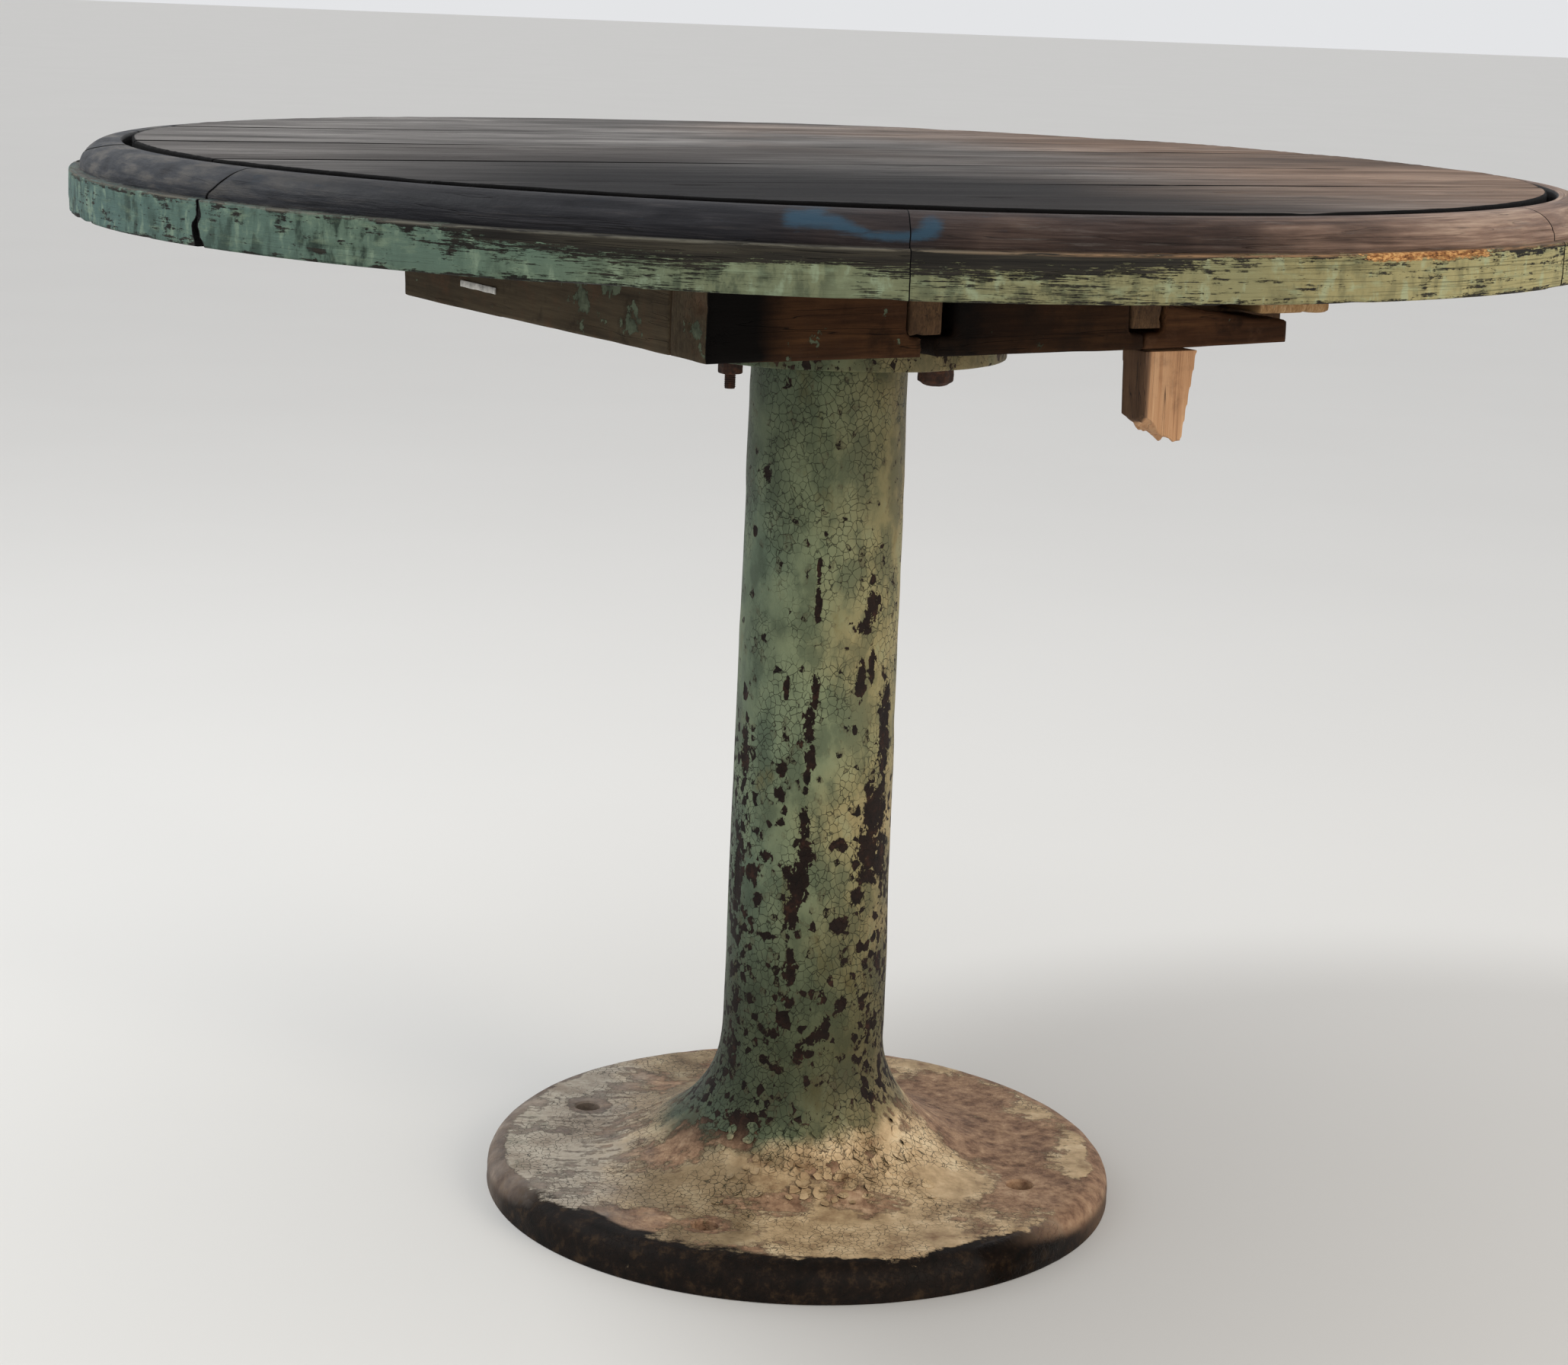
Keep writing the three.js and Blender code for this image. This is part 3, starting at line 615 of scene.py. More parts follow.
def band_wear(f, grain, lined, brushed, wear, long_streak, blocks, fine_wear):
    """Where the band's paint is gone: in streaks and blocks, and along the fibres where brushed."""
    fibres = f.noise(grain, (0.014, 0.003, 0.0006), detail=4, seed=16, roughness=0.65)
    block_share = f.total((brushed, -0.45), (lined, -0.4), (0.95, 1.0))
    fibre_share = f.total((brushed, 1.1), (lined, 0.2), (0.1, 1.0))
    ragged = f.total(
        (f.math("SUBTRACT", long_streak, 0.5), 0.7),
        (f.both(f.math("SUBTRACT", blocks, 0.5), block_share), 1.0),
        (f.both(f.math("SUBTRACT", fibres, 0.5), fibre_share), 1.0),
        (f.math("SUBTRACT", fine_wear, 0.5), 0.4),
        (wear, 1.0),
        (0.5, 1.0),
    )
    return f.rise(ragged, 0.62, 0.68)


def bare_moulding(f, grain, across, broad, cloud, scuffs):
    """Blackened bare wood, ruddy and then brown to the right, scuffed paler; the grey at the left is
    painted cool light, and the brown at the right partly painted warm light.
    """
    ridge, _ = wood_grain(f, grain, "0d0d11", "19191d", "302f32", 30)
    ruddy, _ = wood_grain(f, grain, "17100e", "2e221e", "4f413b", 30)
    ridge = f.over(ridge, ruddy, f.total((across, 1.0), (broad, 0.3)), 0.1, 0.28)
    # Partly painted warm light: paler brown towards the right.
    brown, _ = wood_grain(f, grain, "3c2c25", "80685a", "c0a791", 30)
    ridge = f.over(ridge, brown, f.total((across, 1.0), (broad, 0.5)), 0.34, 0.7)
    # Painted cool light: grey over the moulding at the left.
    cool_lit_grey = f.ramp(cloud, (0.36, "171a1f"), (0.48, "34373c"), (0.6, "5c5955"))
    ridge = f.over(ridge, cool_lit_grey, across, -0.2, -0.46, 0.8)
    from_dark = f.math("ABSOLUTE", f.math("ADD", across, 0.16))
    pale = f.total((f.rise(from_dark, 0.3, 0.08), -0.25), (0.45, 1.0))
    return f.over(ridge, "6f6964", scuffs, 0.53, 0.72, pale)


def rim_paint():
    """Green paint on the rim band, worn in streaks to dark wood, and bare wood on the moulding."""
    f = Finish("rim_paint", specular=0.12)
    grain = f.grain()
    wear, smear, fresh, groove, brushed = f.stored("wear", "smear", "fresh", "groove", "brushed")
    across, height = f.axis("X"), f.axis("Z")
    lined = f.rise(across, 0.12, 0.3)
    broad = f.noise(f.place, 0.07, detail=4, seed=11)
    mottle = f.noise(grain, (0.02, 0.008, 0.008), detail=6, seed=12, roughness=0.65)
    long_streak = f.noise(grain, (0.035, 0.004, 0.0022), detail=6, seed=13, roughness=0.7)
    blocks = f.noise(grain, (0.017, 0.02, 0.011), detail=8, seed=14, roughness=0.66)
    fine_wear = f.noise(grain, (0.004, 0.01, 0.0015), detail=5, seed=19, roughness=0.7)
    cloud = f.noise(grain, (0.05, 0.014, 0.010), detail=7, seed=18, roughness=0.62)
    scuffs = f.noise(grain, (0.06, 0.006, 0.003), detail=7, seed=17, roughness=0.72)
    paint = band_coat(f, grain, across, broad, mottle, lined, brushed)
    wood, wood_height = wood_grain(f, grain, "100f0d", "211f1c", "3c382f", 20)
    bare = band_wear(f, grain, lined, brushed, wear, long_streak, blocks, fine_wear)
    ridge = bare_moulding(f, grain, across, broad, cloud, scuffs)
    rag_smear = f.total((smear, 1.0), (mottle, 1.3), (long_streak, 1.0))
    ridge = f.over(ridge, "2c4759", rag_smear, 1.3, 2.0, 0.8)
    moulded = f.rise(height, LEDGE_Z - 0.0008, LEDGE_Z + 0.0006)
    whole = f.mix(moulded, f.mix(bare, paint, wood), ridge)
    shelf = f.both(f.rise(height, LEDGE_Z - 0.0022, LEDGE_Z - 0.0006), f.opposite(moulded))
    shelf_tone = f.over("605d52", "8d6e50", across, 0.0, 0.2)
    whole = f.mix(f.both(shelf, f.rise(long_streak, 0.4, 0.56)), whole, shelf_tone)
    tan = f.ramp(fine_wear, (0.36, "4a2c1a"), (0.48, "94643a"), (0.62, "c59a63"))
    raw = f.total((fresh, 1.0), (long_streak, 0.7), (blocks, 1.1), (fine_wear, 1.0))
    whole = f.over(whole, tan, raw, 1.86, 1.98)
    # Near-black in the joints' dark end grain, and painted shade down the groove beside the deck.
    f.colour(f.over(whole, "060506", f.total((groove, 1.0), (scuffs, 0.6)), 0.7, 1.0))
    f.rough(f.total((mottle, 0.3), (moulded, -0.1), (0.5, 1.0)))
    coat = f.both(f.opposite(bare), f.opposite(moulded))
    f.relief((wood_height, 0.0005), (coat, 0.0004), (blocks, 0.0006), (scuffs, 0.0005), (cloud, 0.0008))
    return f.material


def deck_timber():
    """Weathered grey-brown boards."""
    f = Finish("deck_timber", specular=0.1)
    grain = f.grain()
    (groove,) = f.stored("groove")
    across, back = f.axis("X"), f.axis("Y")
    colour, height = wood_grain(f, grain, "33312f", "605d5b", "9d9995", 50, tight=0.0008, bold=0.9)
    brown, _ = wood_grain(f, grain, "3e3028", "7b6658", "b39a87", 50, tight=0.0008, bold=0.9)
    broad = f.noise(f.place, 0.2, detail=3, seed=51)
    colour = f.over(colour, brown, f.total((across, 1.1), (broad, 0.6), (back, 0.3)), 0.25, 0.75)
    # Painted shadow: the deck's front middle darkened nearly to black, with fewer pale streaks inside
    # it.
    off_centre = f.math("ABSOLUTE", f.math("ADD", across, 0.01))
    middle = f.both(f.rise(off_centre, 0.42, 0.12), f.rise(back, 0.05, -0.3))
    colour = f.mix(f.both(middle, 0.92), colour, "141416")
    stain = f.rise(f.noise(grain, (0.12, 0.03, 0.03), detail=6, seed=52, roughness=0.62), 0.5, 0.72)
    colour = f.mix(f.both(stain, 0.55), colour, "1b1817")
    each = f.noise(grain, (0.9, 0.35, 1.0), detail=0, seed=54)
    colour = f.over(colour, "3a3431", each, 0.42, 0.75, 0.5)
    smear = f.noise(grain, (0.5, 0.006, 0.05), detail=5, seed=53, roughness=0.6)
    colour = f.over(colour, "aaa59f", smear, 0.54, 0.7, f.total((middle, -0.24), (0.3, 1.0)))
    # Painted shade: near-black along the seams and the outer edge.
    f.colour(f.over(colour, "070606", f.total((groove, 1.0), (height, 0.3)), 0.6, 0.9))
    f.rough(f.total((height, 0.2), (stain, -0.06), (0.7, 1.0)))
    f.relief((height, 0.0008))
    return f.material


def frame_timber():
    """Dark red-brown timber with a few flakes of old green paint, dark blotches and near-black painted
    shade.
    """
    f = Finish("frame_timber", roughness=0.85, specular=0.1)
    grain = f.grain()
    wear, soot, bleach = f.stored("wear", "soot", "bleach")
    colour, height = wood_grain(f, grain, "20130b", "3c2617", "5f4128", 60, bold=0.8)
    grey, _ = wood_grain(f, grain, "332b21", "4c4233", "665a46", 65, bold=0.8)
    backwards = f.total((f.axis("X"), -1.0), (f.axis("Y"), 1.0))
    colour = f.mix(bleach, colour, f.over(grey, "261f16", backwards, 0.05, 0.3, 0.45))
    blotch = f.noise(f.place, 0.03, detail=6, seed=62, roughness=0.65)
    colour = f.over(colour, "5a4130", blotch, 0.5, 0.7, 0.5)
    colour = f.over(colour, "120b07", blotch, 0.48, 0.3, 0.6)
    flaky = f.noise(f.place, 0.014, detail=8, seed=61, roughness=0.66)
    flake = f.rise(f.total((flaky, 2.6), (wear, 1.0), (-0.82, 1.0)), 0.84, 0.93)
    green = f.ramp(flaky, (0.42, "3a4337"), (0.6, "646f5b"))
    colour = f.mix(f.both(flake, 0.85), colour, green)
    # Near-black painted shade on the front run and along the tops, with the dark blotches.
    f.colour(f.over(colour, "070504", f.total((soot, 1.0), (blotch, 0.7)), 0.5, 1.2))
    f.relief((height, 0.0006), (flake, 0.0003), (blotch, 0.0006))
    return f.material


def joist_timber():
    """Brown sawn timber, paler than the bearers."""
    f = Finish("joist_timber", roughness=0.85, specular=0.25)
    grain = f.grain()
    (wear,) = f.stored("wear")
    colour, height = wood_grain(f, grain, "281a11", "43301f", "634a32", 70)
    tan, _ = wood_grain(f, grain, "634830", "96764f", "c2a680", 75)
    flaky = f.noise(f.place, 0.008, detail=5, seed=71, roughness=0.65)
    colour = f.over(colour, tan, f.total((wear, 1.0), (flaky, 0.4)), 0.5, 0.8)
    f.colour(f.over(colour, "76856a", f.total((flaky, 1.0), (wear, 0.1)), 0.74, 0.78))
    saw = f.noise(grain, (0.0022, 0.03, 0.03), detail=2, seed=72)
    f.relief((height, 0.0005), (saw, 0.0002))
    return f.material


def peg_timber():
    """Fresher pale brown timber, with painted shade on its left face."""
    f = Finish("peg_timber", roughness=0.75, specular=0.3)
    grain = f.grain()
    (soot,) = f.stored("soot")
    colour, height = wood_grain(f, grain, "805a40", "b98c66", "d3ab85", 80)
    # The darker timber of the peg's painted shade on its left face.
    old, _ = wood_grain(f, grain, "33241a", "533c2b", "6f533d", 85)
    dirt = f.noise(f.place, 0.02, detail=5, seed=81, roughness=0.6)
    f.colour(f.over(f.mix(soot, colour, old), "54392a", dirt, 0.5, 0.75, 0.5))
    f.relief((height, 0.0005))
    return f.material


def rusty_steel():
    f = Finish("rusty_steel", roughness=0.85, metallic=0.25)
    rust = f.noise(f.place, 0.004, detail=6, seed=91, roughness=0.7)
    pits = f.noise(f.place, 0.0012, detail=3, seed=92)
    f.colour(f.ramp(rust, (0.3, "1f1410"), (0.5, "38241b"), (0.7, "5e3a26")))
    f.relief((rust, 0.0006), (pits, 0.0002))
    return f.material


def oiled_metal(name, dark, light, patches, seed):
    """Turned metal under a film of oil, which lies in patches about so far apart."""
    f = Finish(name, roughness=0.35, metallic=1.0)
    tooling = f.noise(f.place, (0.02, 0.02, 0.0004), detail=2, seed=seed)
    oil = f.noise(f.place, patches, detail=4, seed=seed + 1)
    f.colour(f.ramp(oil, (0.35, dark), (0.65, light)))
    f.rough(f.total((oil, 0.25), (0.25, 1.0)))
    f.relief((tooling, 0.00005))
    return f.material


def pale_strip():
    f = Finish("pale_strip", roughness=0.45)
    dirt = f.noise(f.place, 0.01, detail=5, seed=99, roughness=0.6)
    f.colour(f.ramp(dirt, (0.35, "7f7d78"), (0.55, "cfcdc6"), (0.8, "dedcd6")))
    f.relief((dirt, 0.0002))
    return f.material


# ---- Pedestal -----------------------------------------------------------------------------

# Chips on the column: turn from the front in degrees, height, width and length.
COLUMN_CHIPS = (
    (-45, 0.532, 0.009, 0.010), (-1, 0.470, 0.003, 0.012), (-1, 0.445, 0.004, 0.022),
    (42, 0.442, 0.013, 0.018), (34, 0.428, 0.014, 0.009), (-43, 0.418, 0.006, 0.007),
    (34, 0.391, 0.008, 0.028), (-1, 0.386, 0.006, 0.018), (-4, 0.357, 0.008, 0.026),
    (-2, 0.336, 0.006, 0.016), (-59, 0.330, 0.010, 0.038), (60, 0.350, 0.014, 0.060),
    (-62, 0.374, 0.007, 0.010), (-23, 0.308, 0.007, 0.011), (-5, 0.288, 0.007, 0.022),
    (-3, 0.264, 0.010, 0.018), (-7, 0.245, 0.011, 0.030), (-11, 0.222, 0.008, 0.026),
    (52, 0.292, 0.026, 0.034), (46, 0.266, 0.022, 0.026), (62, 0.258, 0.018, 0.034),
    (-44, 0.246, 0.011, 0.013), (-62, 0.240, 0.012, 0.060), (-11, 0.178, 0.010, 0.014),
    (-11, 0.155, 0.007, 0.008), (-15, 0.142, 0.009, 0.012), (27, 0.154, 0.009, 0.010),
    (12, 0.132, 0.011, 0.009), (-2, 0.117, 0.009, 0.011), (-20, 0.130, 0.007, 0.008),
    (-22, 0.384, 0.004, 0.014), (-4, 0.320, 0.004, 0.011), (-22, 0.323, 0.005, 0.006),
    (-22, 0.287, 0.008, 0.004), (22, 0.272, 0.014, 0.007), (-16, 0.253, 0.010, 0.007),
    (-33, 0.260, 0.010, 0.008), (-60, 0.227, 0.009, 0.011), (-38, 0.228, 0.007, 0.008),
    (-28, 0.203, 0.014, 0.004), (-42, 0.203, 0.005, 0.005), (-11, 0.190, 0.006, 0.011),
    (24, 0.214, 0.011, 0.010), (36, 0.232, 0.011, 0.011), (30, 0.355, 0.005, 0.007),
    (16, 0.140, 0.006, 0.011), (6, 0.127, 0.008, 0.008), (-27, 0.111, 0.006, 0.006),
    (-21, 0.157, 0.004, 0.005), (13, 0.159, 0.006, 0.004), (45, 0.247, 0.018, 0.012),
    (43, 0.400, 0.006, 0.024), (14, 0.504, 0.006, 0.003), (2, 0.494, 0.004, 0.004),
    (48, 0.485, 0.005, 0.004), (40, 0.461, 0.006, 0.006), (-31, 0.597, 0.006, 0.004),
    (-58, 0.490, 0.005, 0.006),
)
CHIP_DEPTH = 0.66
CHIP_SPREAD = 1.75
FLAKES = 190
FLAKE_CORNERS = 8
FLAKE_THICK = 0.0007
# Places on the foot that are barer (+) or sounder (-) than the rest: turn, radius, reach, amount.
FOOT_PATCHES = (
    (-32, 0.073, 0.026, 0.42),
    (12, 0.098, 0.022, 0.26),
    (32, 0.088, 0.018, 0.20),
    (72, 0.190, 0.050, 0.30),
    (100, 0.145, 0.080, 0.34),
    (140, 0.150, 0.080, 0.30),
    (-38, 0.205, 0.045, 0.30),
    (-2, 0.130, 0.020, 0.16),
    (180, 0.140, 0.060, 0.15),
    (-95, 0.160, 0.040, 0.14),
    (8, 0.165, 0.045, -0.20),
    (52, 0.120, 0.045, -0.22),
    (30, 0.180, 0.040, -0.12),
    (-80, 0.200, 0.040, -0.10),
    (-35, 0.120, 0.040, -0.12),
)


def front_turn(points):
    """Degrees round the column's axis from the front, positive to the right."""
    return np.degrees(np.arctan2(points[:, 0], -points[:, 1]))


def pedestal_outline():
    """The casting's closed (radius, height) outline."""
    outside = [
        *corner((BASE_R, 0), (-1, 0), (0, 1), 0.0015, 2),
        *arc((BASE_R - BASE_ROUND, BASE_EDGE_Z - BASE_ROUND), (BASE_ROUND, BASE_ROUND), 0, 90, 6),
        *arc((FLARE_R, FLARE_TOP_Z), (FLARE_W, FLARE_TOP_Z - BASE_EDGE_Z), 270, 180, 60),
        *corner((COLUMN_R_TOP, COLUMN_TOP_Z), (0, -1), (-1, 0), 0.002, 3),
    ]
    upper_seat, lower_seat = low("upper_bush").z, high("lower_bush").z
    lower_end = low("lower_bush").z
    inside = [
        (BUSH_SEAT_R, COLUMN_TOP_Z),
        (BUSH_SEAT_R, upper_seat - 0.0003),
        (CORE_R, upper_seat - 0.012),
        (CORE_R, lower_seat + 0.012),
        (BUSH_SEAT_R, lower_seat + 0.0003),
        (BUSH_SEAT_R, lower_end),
        (CORE_R, lower_end),
        (CORE_R, 0),
    ]
    return spaced(outside, MEDIUM) + spaced(inside, COARSE)[:-1] + [(CORE_R, 0)]


def column_wear(points, turn):
    """The chips at the front, and a general wear that grows low down and at the sides."""
    height = points[:, 2]
    unrolled = joined(COLUMN_R_LOW * np.radians(turn), height, 0)
    places = []
    for chip_turn, chip_z, width, length in COLUMN_CHIPS:
        centre = (COLUMN_R_LOW * math.radians(chip_turn), chip_z, 0)
        places.append((centre, (width * CHIP_SPREAD / 2, length * CHIP_SPREAD / 2, 1)))
    chips = spots(unrolled, places) * CHIP_DEPTH
    lower = rise(height, 0.42, 0.15)
    right = rise(turn, 30, 52) * rise(turn, 150, 100)
    left = rise(turn, -40, -58) * rise(turn, -150, -110) * rise(height, 0.4, 0.3)
    back = rise(np.abs(turn), 120, 160)
    general = 0.02 + 0.055 * lower + 0.12 * right * lower + 0.1 * left + 0.05 * back
    general = general * (1 + 0.5 * noise(points, 0.05, 5)) - 0.03 * rise(height, 0.45, 0.58)
    return np.maximum(chips, general)


def foot_wear(points):
    """Barer and sounder patches, the base's rubbed edge and the rings round its holes."""
    ground = 0.2 + 0.05 * noise(points, 0.06, 8)
    for turn, radius, reach, amount in FOOT_PATCHES:
        away = from_axis(points - polar(radius, turn - 90))
        ground = ground + amount * rise(away, reach, 0.3 * reach)
    ragged = from_axis(points) + 0.004 * noise(points, 0.03, 9) + 0.003 * noise(points, 0.009, 10)
    ground = ground + 0.42 * rise(ragged, BASE_R - 0.018, BASE_R - 0.008)
    for hole in quarters(FLOOR_HOLE_CIRCLE_R, FLOOR_HOLE_TURN):
        ground = np.maximum(ground, 0.4 * rise(from_axis(points - hole), 0.026, 0.014))
    return ground


def pedestal_wear(points, turn):
    """How far the paint is worn at each point: 0 sound, 0.3 half gone, over 0.5 bare."""
    on_foot = rise(from_axis(points), COLUMN_R_LOW + 0.004, COLUMN_R_LOW + 0.03)
    return column_wear(points, turn) * (1 - on_foot) + foot_wear(points) * on_foot


def paint_to_foot(points):
    """0 where the column's green paint is, 1 where the foot's beige is."""
    return rise(points[:, 2] - 0.12 * points[:, 0], 0.095, 0.035)


def pedestal_soot(points, turn):
    """The base's darkened edge: dark iron all round, with painted shade deepest at the front and low
    down by the floor, and less at the left and right.
    """
    dark = 0.45 + 0.6 * rise(np.abs(turn + 8), 70, 30) - 0.3 * rise(np.abs(turn + 90), 45, 20)
    dark = dark - 0.15 * rise(np.abs(turn - 85), 45, 20)
    at_front = rise(np.abs(turn), 75, 45)
    unsteady = 0.012 * at_front + 0.005 * noise(points, 0.022, 11) + 0.003 * noise(points, 0.007, 12)
    by_edge = rise(from_axis(points) + unsteady, BASE_R - 0.018, BASE_R - 0.006)
    lower_edge = rise(points[:, 2], 0.02 + 0.004 * at_front, 0.008)
    return by_edge * (dark + (0.3 + 0.35 * at_front) * lower_edge)


def pedestal_casting(finish):
    casting = lathe("cast_pedestal", pedestal_outline(), 320)
    worn_r = FLOOR_HOLE_R + 0.002
    hole = [
        (0, -0.01),
        (FLOOR_HOLE_R, -0.01),
        (FLOOR_HOLE_R, BASE_EDGE_Z - 0.0015),
        (worn_r, BASE_EDGE_Z + 0.0006),
        (worn_r, BASE_EDGE_Z + 0.02),
        (0, BASE_EDGE_Z + 0.02),
    ]
    for place in quarters(FLOOR_HOLE_CIRCLE_R, FLOOR_HOLE_TURN):
        bored(casting, hole, 40, place)
    points = points_of(casting)
    turn, radius, height = front_turn(points), from_axis(points), points[:, 2]
    wear = pedestal_wear(points, turn)
    outer = rise(radius, CORE_R + 0.002, COLUMN_R_TOP - 0.003) * rise(height, 0.001, 0.006)
    outer = outer * rise(height, COLUMN_TOP_Z, COLUMN_TOP_Z - 0.02)
    lumps = 0.0005 * noise(points, 0.045, 1) + 0.00025 * noise(points, 0.016, 2)
    swollen(casting, outer * (lumps - 0.0004 * rise(wear, 0.2, 0.5)))
    rubbed = rise(np.abs(turn - 45), 17, 6) * rise(np.abs(radius - BASE_R + 0.006), 0.012, 0.003)
    # The base edge's dark iron and painted shade, deepest at the front.
    soot = pedestal_soot(points, turn)
    mark(casting, wear=wear, foot=paint_to_foot(points), soot=soot, rubbed=rubbed)
    shown(casting, "pedestal", finish, ["pedestal_casting"])


def flare_point(radius):
    """The height of the flare at a radius, and the slope of its surface there."""
    across = (FLARE_R - radius) / FLARE_W
    fall = math.sqrt(1 - across**2)
    height = FLARE_TOP_Z - (FLARE_TOP_Z - BASE_EDGE_Z) * fall
    slope = -(FLARE_TOP_Z - BASE_EDGE_Z) / FLARE_W * across / fall
    return height, slope


def flake(chance):
    """The points and faces of one flake, curled up towards one side."""
    turn = chance.normal(16, 20)
    radius = min(0.078 + abs(chance.normal(0, 0.022)), 0.138)
    height, slope = flare_point(radius)
    out = polar(1, turn - 90)
    down = (out + np.array([0, 0, slope])) / math.hypot(1, slope)
    side = np.cross((0, 0, 1), out)
    normal = np.cross(side, down)
    normal = normal * math.copysign(1, normal[2])
    centre = radius * out + np.array([0, 0, height])
    size = chance.uniform(0.0026, 0.0062)
    lift = chance.uniform(0.0010, 0.0032)
    heading = chance.uniform(0, 2 * math.pi)
    turns = np.arange(FLAKE_CORNERS) * 2 * math.pi / FLAKE_CORNERS
    turns = turns + chance.uniform(-0.25, 0.25, FLAKE_CORNERS)
    reach = size * chance.uniform(0.65, 1.1, FLAKE_CORNERS)
    rings = []
    for share, depth in ((0.45, FLAKE_THICK), (1.0, FLAKE_THICK), (1.0, 0.0), (0.45, 0.0)):
        u, v = share * reach * np.cos(turns), share * reach * np.sin(turns)
        along = (u * math.cos(heading) + v * math.sin(heading)) / size
        up = 0.0004 - depth + lift * np.clip(along, 0, 1) ** 2
        rings.append(centre + u[:, None] * side + v[:, None] * down + up[:, None] * normal)
    return loft(np.array(rings))


def paint_flakes(finish):
    """Loose flakes of old paint standing off the flare, mostly at its front and right."""
    chance = np.random.default_rng(7)
    points, faces = [], []
    for _ in range(FLAKES):
        flake_points, flake_faces = flake(chance)
        faces += [[index + len(points) for index in face] for face in flake_faces]
        points += flake_points.tolist()
    flakes = mesh_object("paint_flakes", points, faces)
    # The flakes' undersides: bare, and darkened as painted shade under their lifted edges.
    underside = np.tile(np.repeat([1.0, 1.0, 0.0, 0.0], FLAKE_CORNERS), FLAKES)
    foot = paint_to_foot(points_of(flakes))
    mark(flakes, wear=1.1 * underside - 0.3, foot=foot, soot=underside, rubbed=0.0)
    shown(flakes, "pedestal", finish)


def hub_flange(finish):
    top = FLANGE_UNDER_Z + FLANGE_THICK
    outline = [
        *corner((FLANGE_R, FLANGE_UNDER_Z), (-1, 0), (0, 1), 0.002),
        *corner((FLANGE_R, top), (0, -1), (-1, 0), 0.002),
        *arc((BOSS_R_LOW + 0.004, top + 0.004), (0.004, 0.004), 270, 180, 4),
        *corner((BOSS_R_TOP, BOSS_TOP_Z), (0, -1), (-1, 0), 0.0015),
        (HUB_BORE_R, BOSS_TOP_Z),
        (HUB_BORE_R, FLANGE_UNDER_Z),
    ]
    flange = lathe("cast_flange", spaced(outline + outline[:1], 0.006)[:-1], 160)
    for place in quarters(BOLT_CIRCLE_R, BOLT_TURN, FLANGE_UNDER_Z):
        bored(flange, rod(BOLT_HOLE_R, -0.01, 0.05), 32, place)
    points = points_of(flange)
    swollen(flange, 0.0003 * rise(from_axis(points), 0.05, 0.07) * noise(points, 0.02, 3))
    wear, foot = 0.1 + 0.1 * noise(points, 0.03, 4), 0.35 + 0.2 * noise(points, 0.05, 5)
    mark(flange, wear=wear, foot=foot, soot=0.0, rubbed=0.0)
    shown(flange, "head", finish, ["hub_flange"])


# ---- Rim ----------------------------------------------------------------------------------

# The rim's butt joints, by their turn from +X in degrees: how wide each stands open at the moulding
# and at the underside, how far it wanders, and how far it leans along the rim up to the crest.
JOINT_SHAPES = {
    -173: (0.0080, 0.0012, 0.005, 0.115),
    -135.5: (0.0014, 0.0085, 0.006, 0.012),
    -85.5: (0.0003, 0.0003, 0.0004, 0.0),
    -31.5: (0.0010, 0.0016, 0.001, 0.0),
    22: (0.0012, 0.0012, 0.001, 0.0),
    77: (0.0014, 0.0030, 0.002, 0.01),
    132: (0.0012, 0.0016, 0.001, 0.0),
}
JOINT_REACH = 0.18


def rim_section():
    """The rim board's closed (radius, height) outline: fine where it shows."""
    visible = [
        (RIM_R - 0.02, TOP_UNDER_Z),
        *corner((RIM_R, TOP_UNDER_Z), (-1, 0), (0, 1), 0.002),
        *corner((RIM_R, LEDGE_Z), (0, -1), (-1, 0), 0.002),
        *arc((CREST_R, LEDGE_Z), (MOULDING_R - CREST_R, CREST_Z - LEDGE_Z), 0, 90, 18),
        *corner((RING_INNER_R, CREST_Z), (1, 0), (0, -1), 0.0030),
        (RING_INNER_R, LAP_Z),
    ]
    hidden = [(LAP_INNER_R, LAP_Z), (LAP_INNER_R, TOP_UNDER_Z)]
    inner = spaced([visible[-1], *hidden, visible[0]], COARSE)
    return np.array(spaced(visible, FINE) + inner[1:-1])


def joint_side(joint, height, side):
    """How far along the rim the end of a board stands from the joint's line."""
    top, bottom, wander, lean = JOINT_SHAPES[joint]
    share = np.clip((height - TOP_UNDER_Z) / (LEDGE_Z - TOP_UNDER_Z), 0, 1)
    flat = joined(height, joint, 0)
    line = wander * noise(flat, (0.0055, 1, 1), 24) + lean * rise(height, LEDGE_Z, FACE_Z)
    rough = 0.0006 * noise(flat, (0.003, 1, 1), 22 + side)
    return line + side * (bottom + (top - bottom) * share) / 2 + rough * (wander > 0.0015)


def end_shade(joint, distance):
    """Dark end grain beside a joint, wider where the joint is wide."""
    reach = 0.0003 + 0.12 * sum(JOINT_SHAPES[joint][:2])
    return rise(distance, reach, 0.2 * reach)


def rim_relief(along, radius, height):
    """How far the rim's surface stands out: sawn waves and scars."""
    flat = joined(along, radius, height)
    waves = 0.0005 * noise(flat, (0.12, 1, 0.06), 31) + 0.0003 * noise(flat, (0.03, 1, 0.008), 32)
    scars = -0.0008 * rise(noise(flat, (0.05, 1, 0.004), 33), 0.45, 0.8)
    return waves + scars


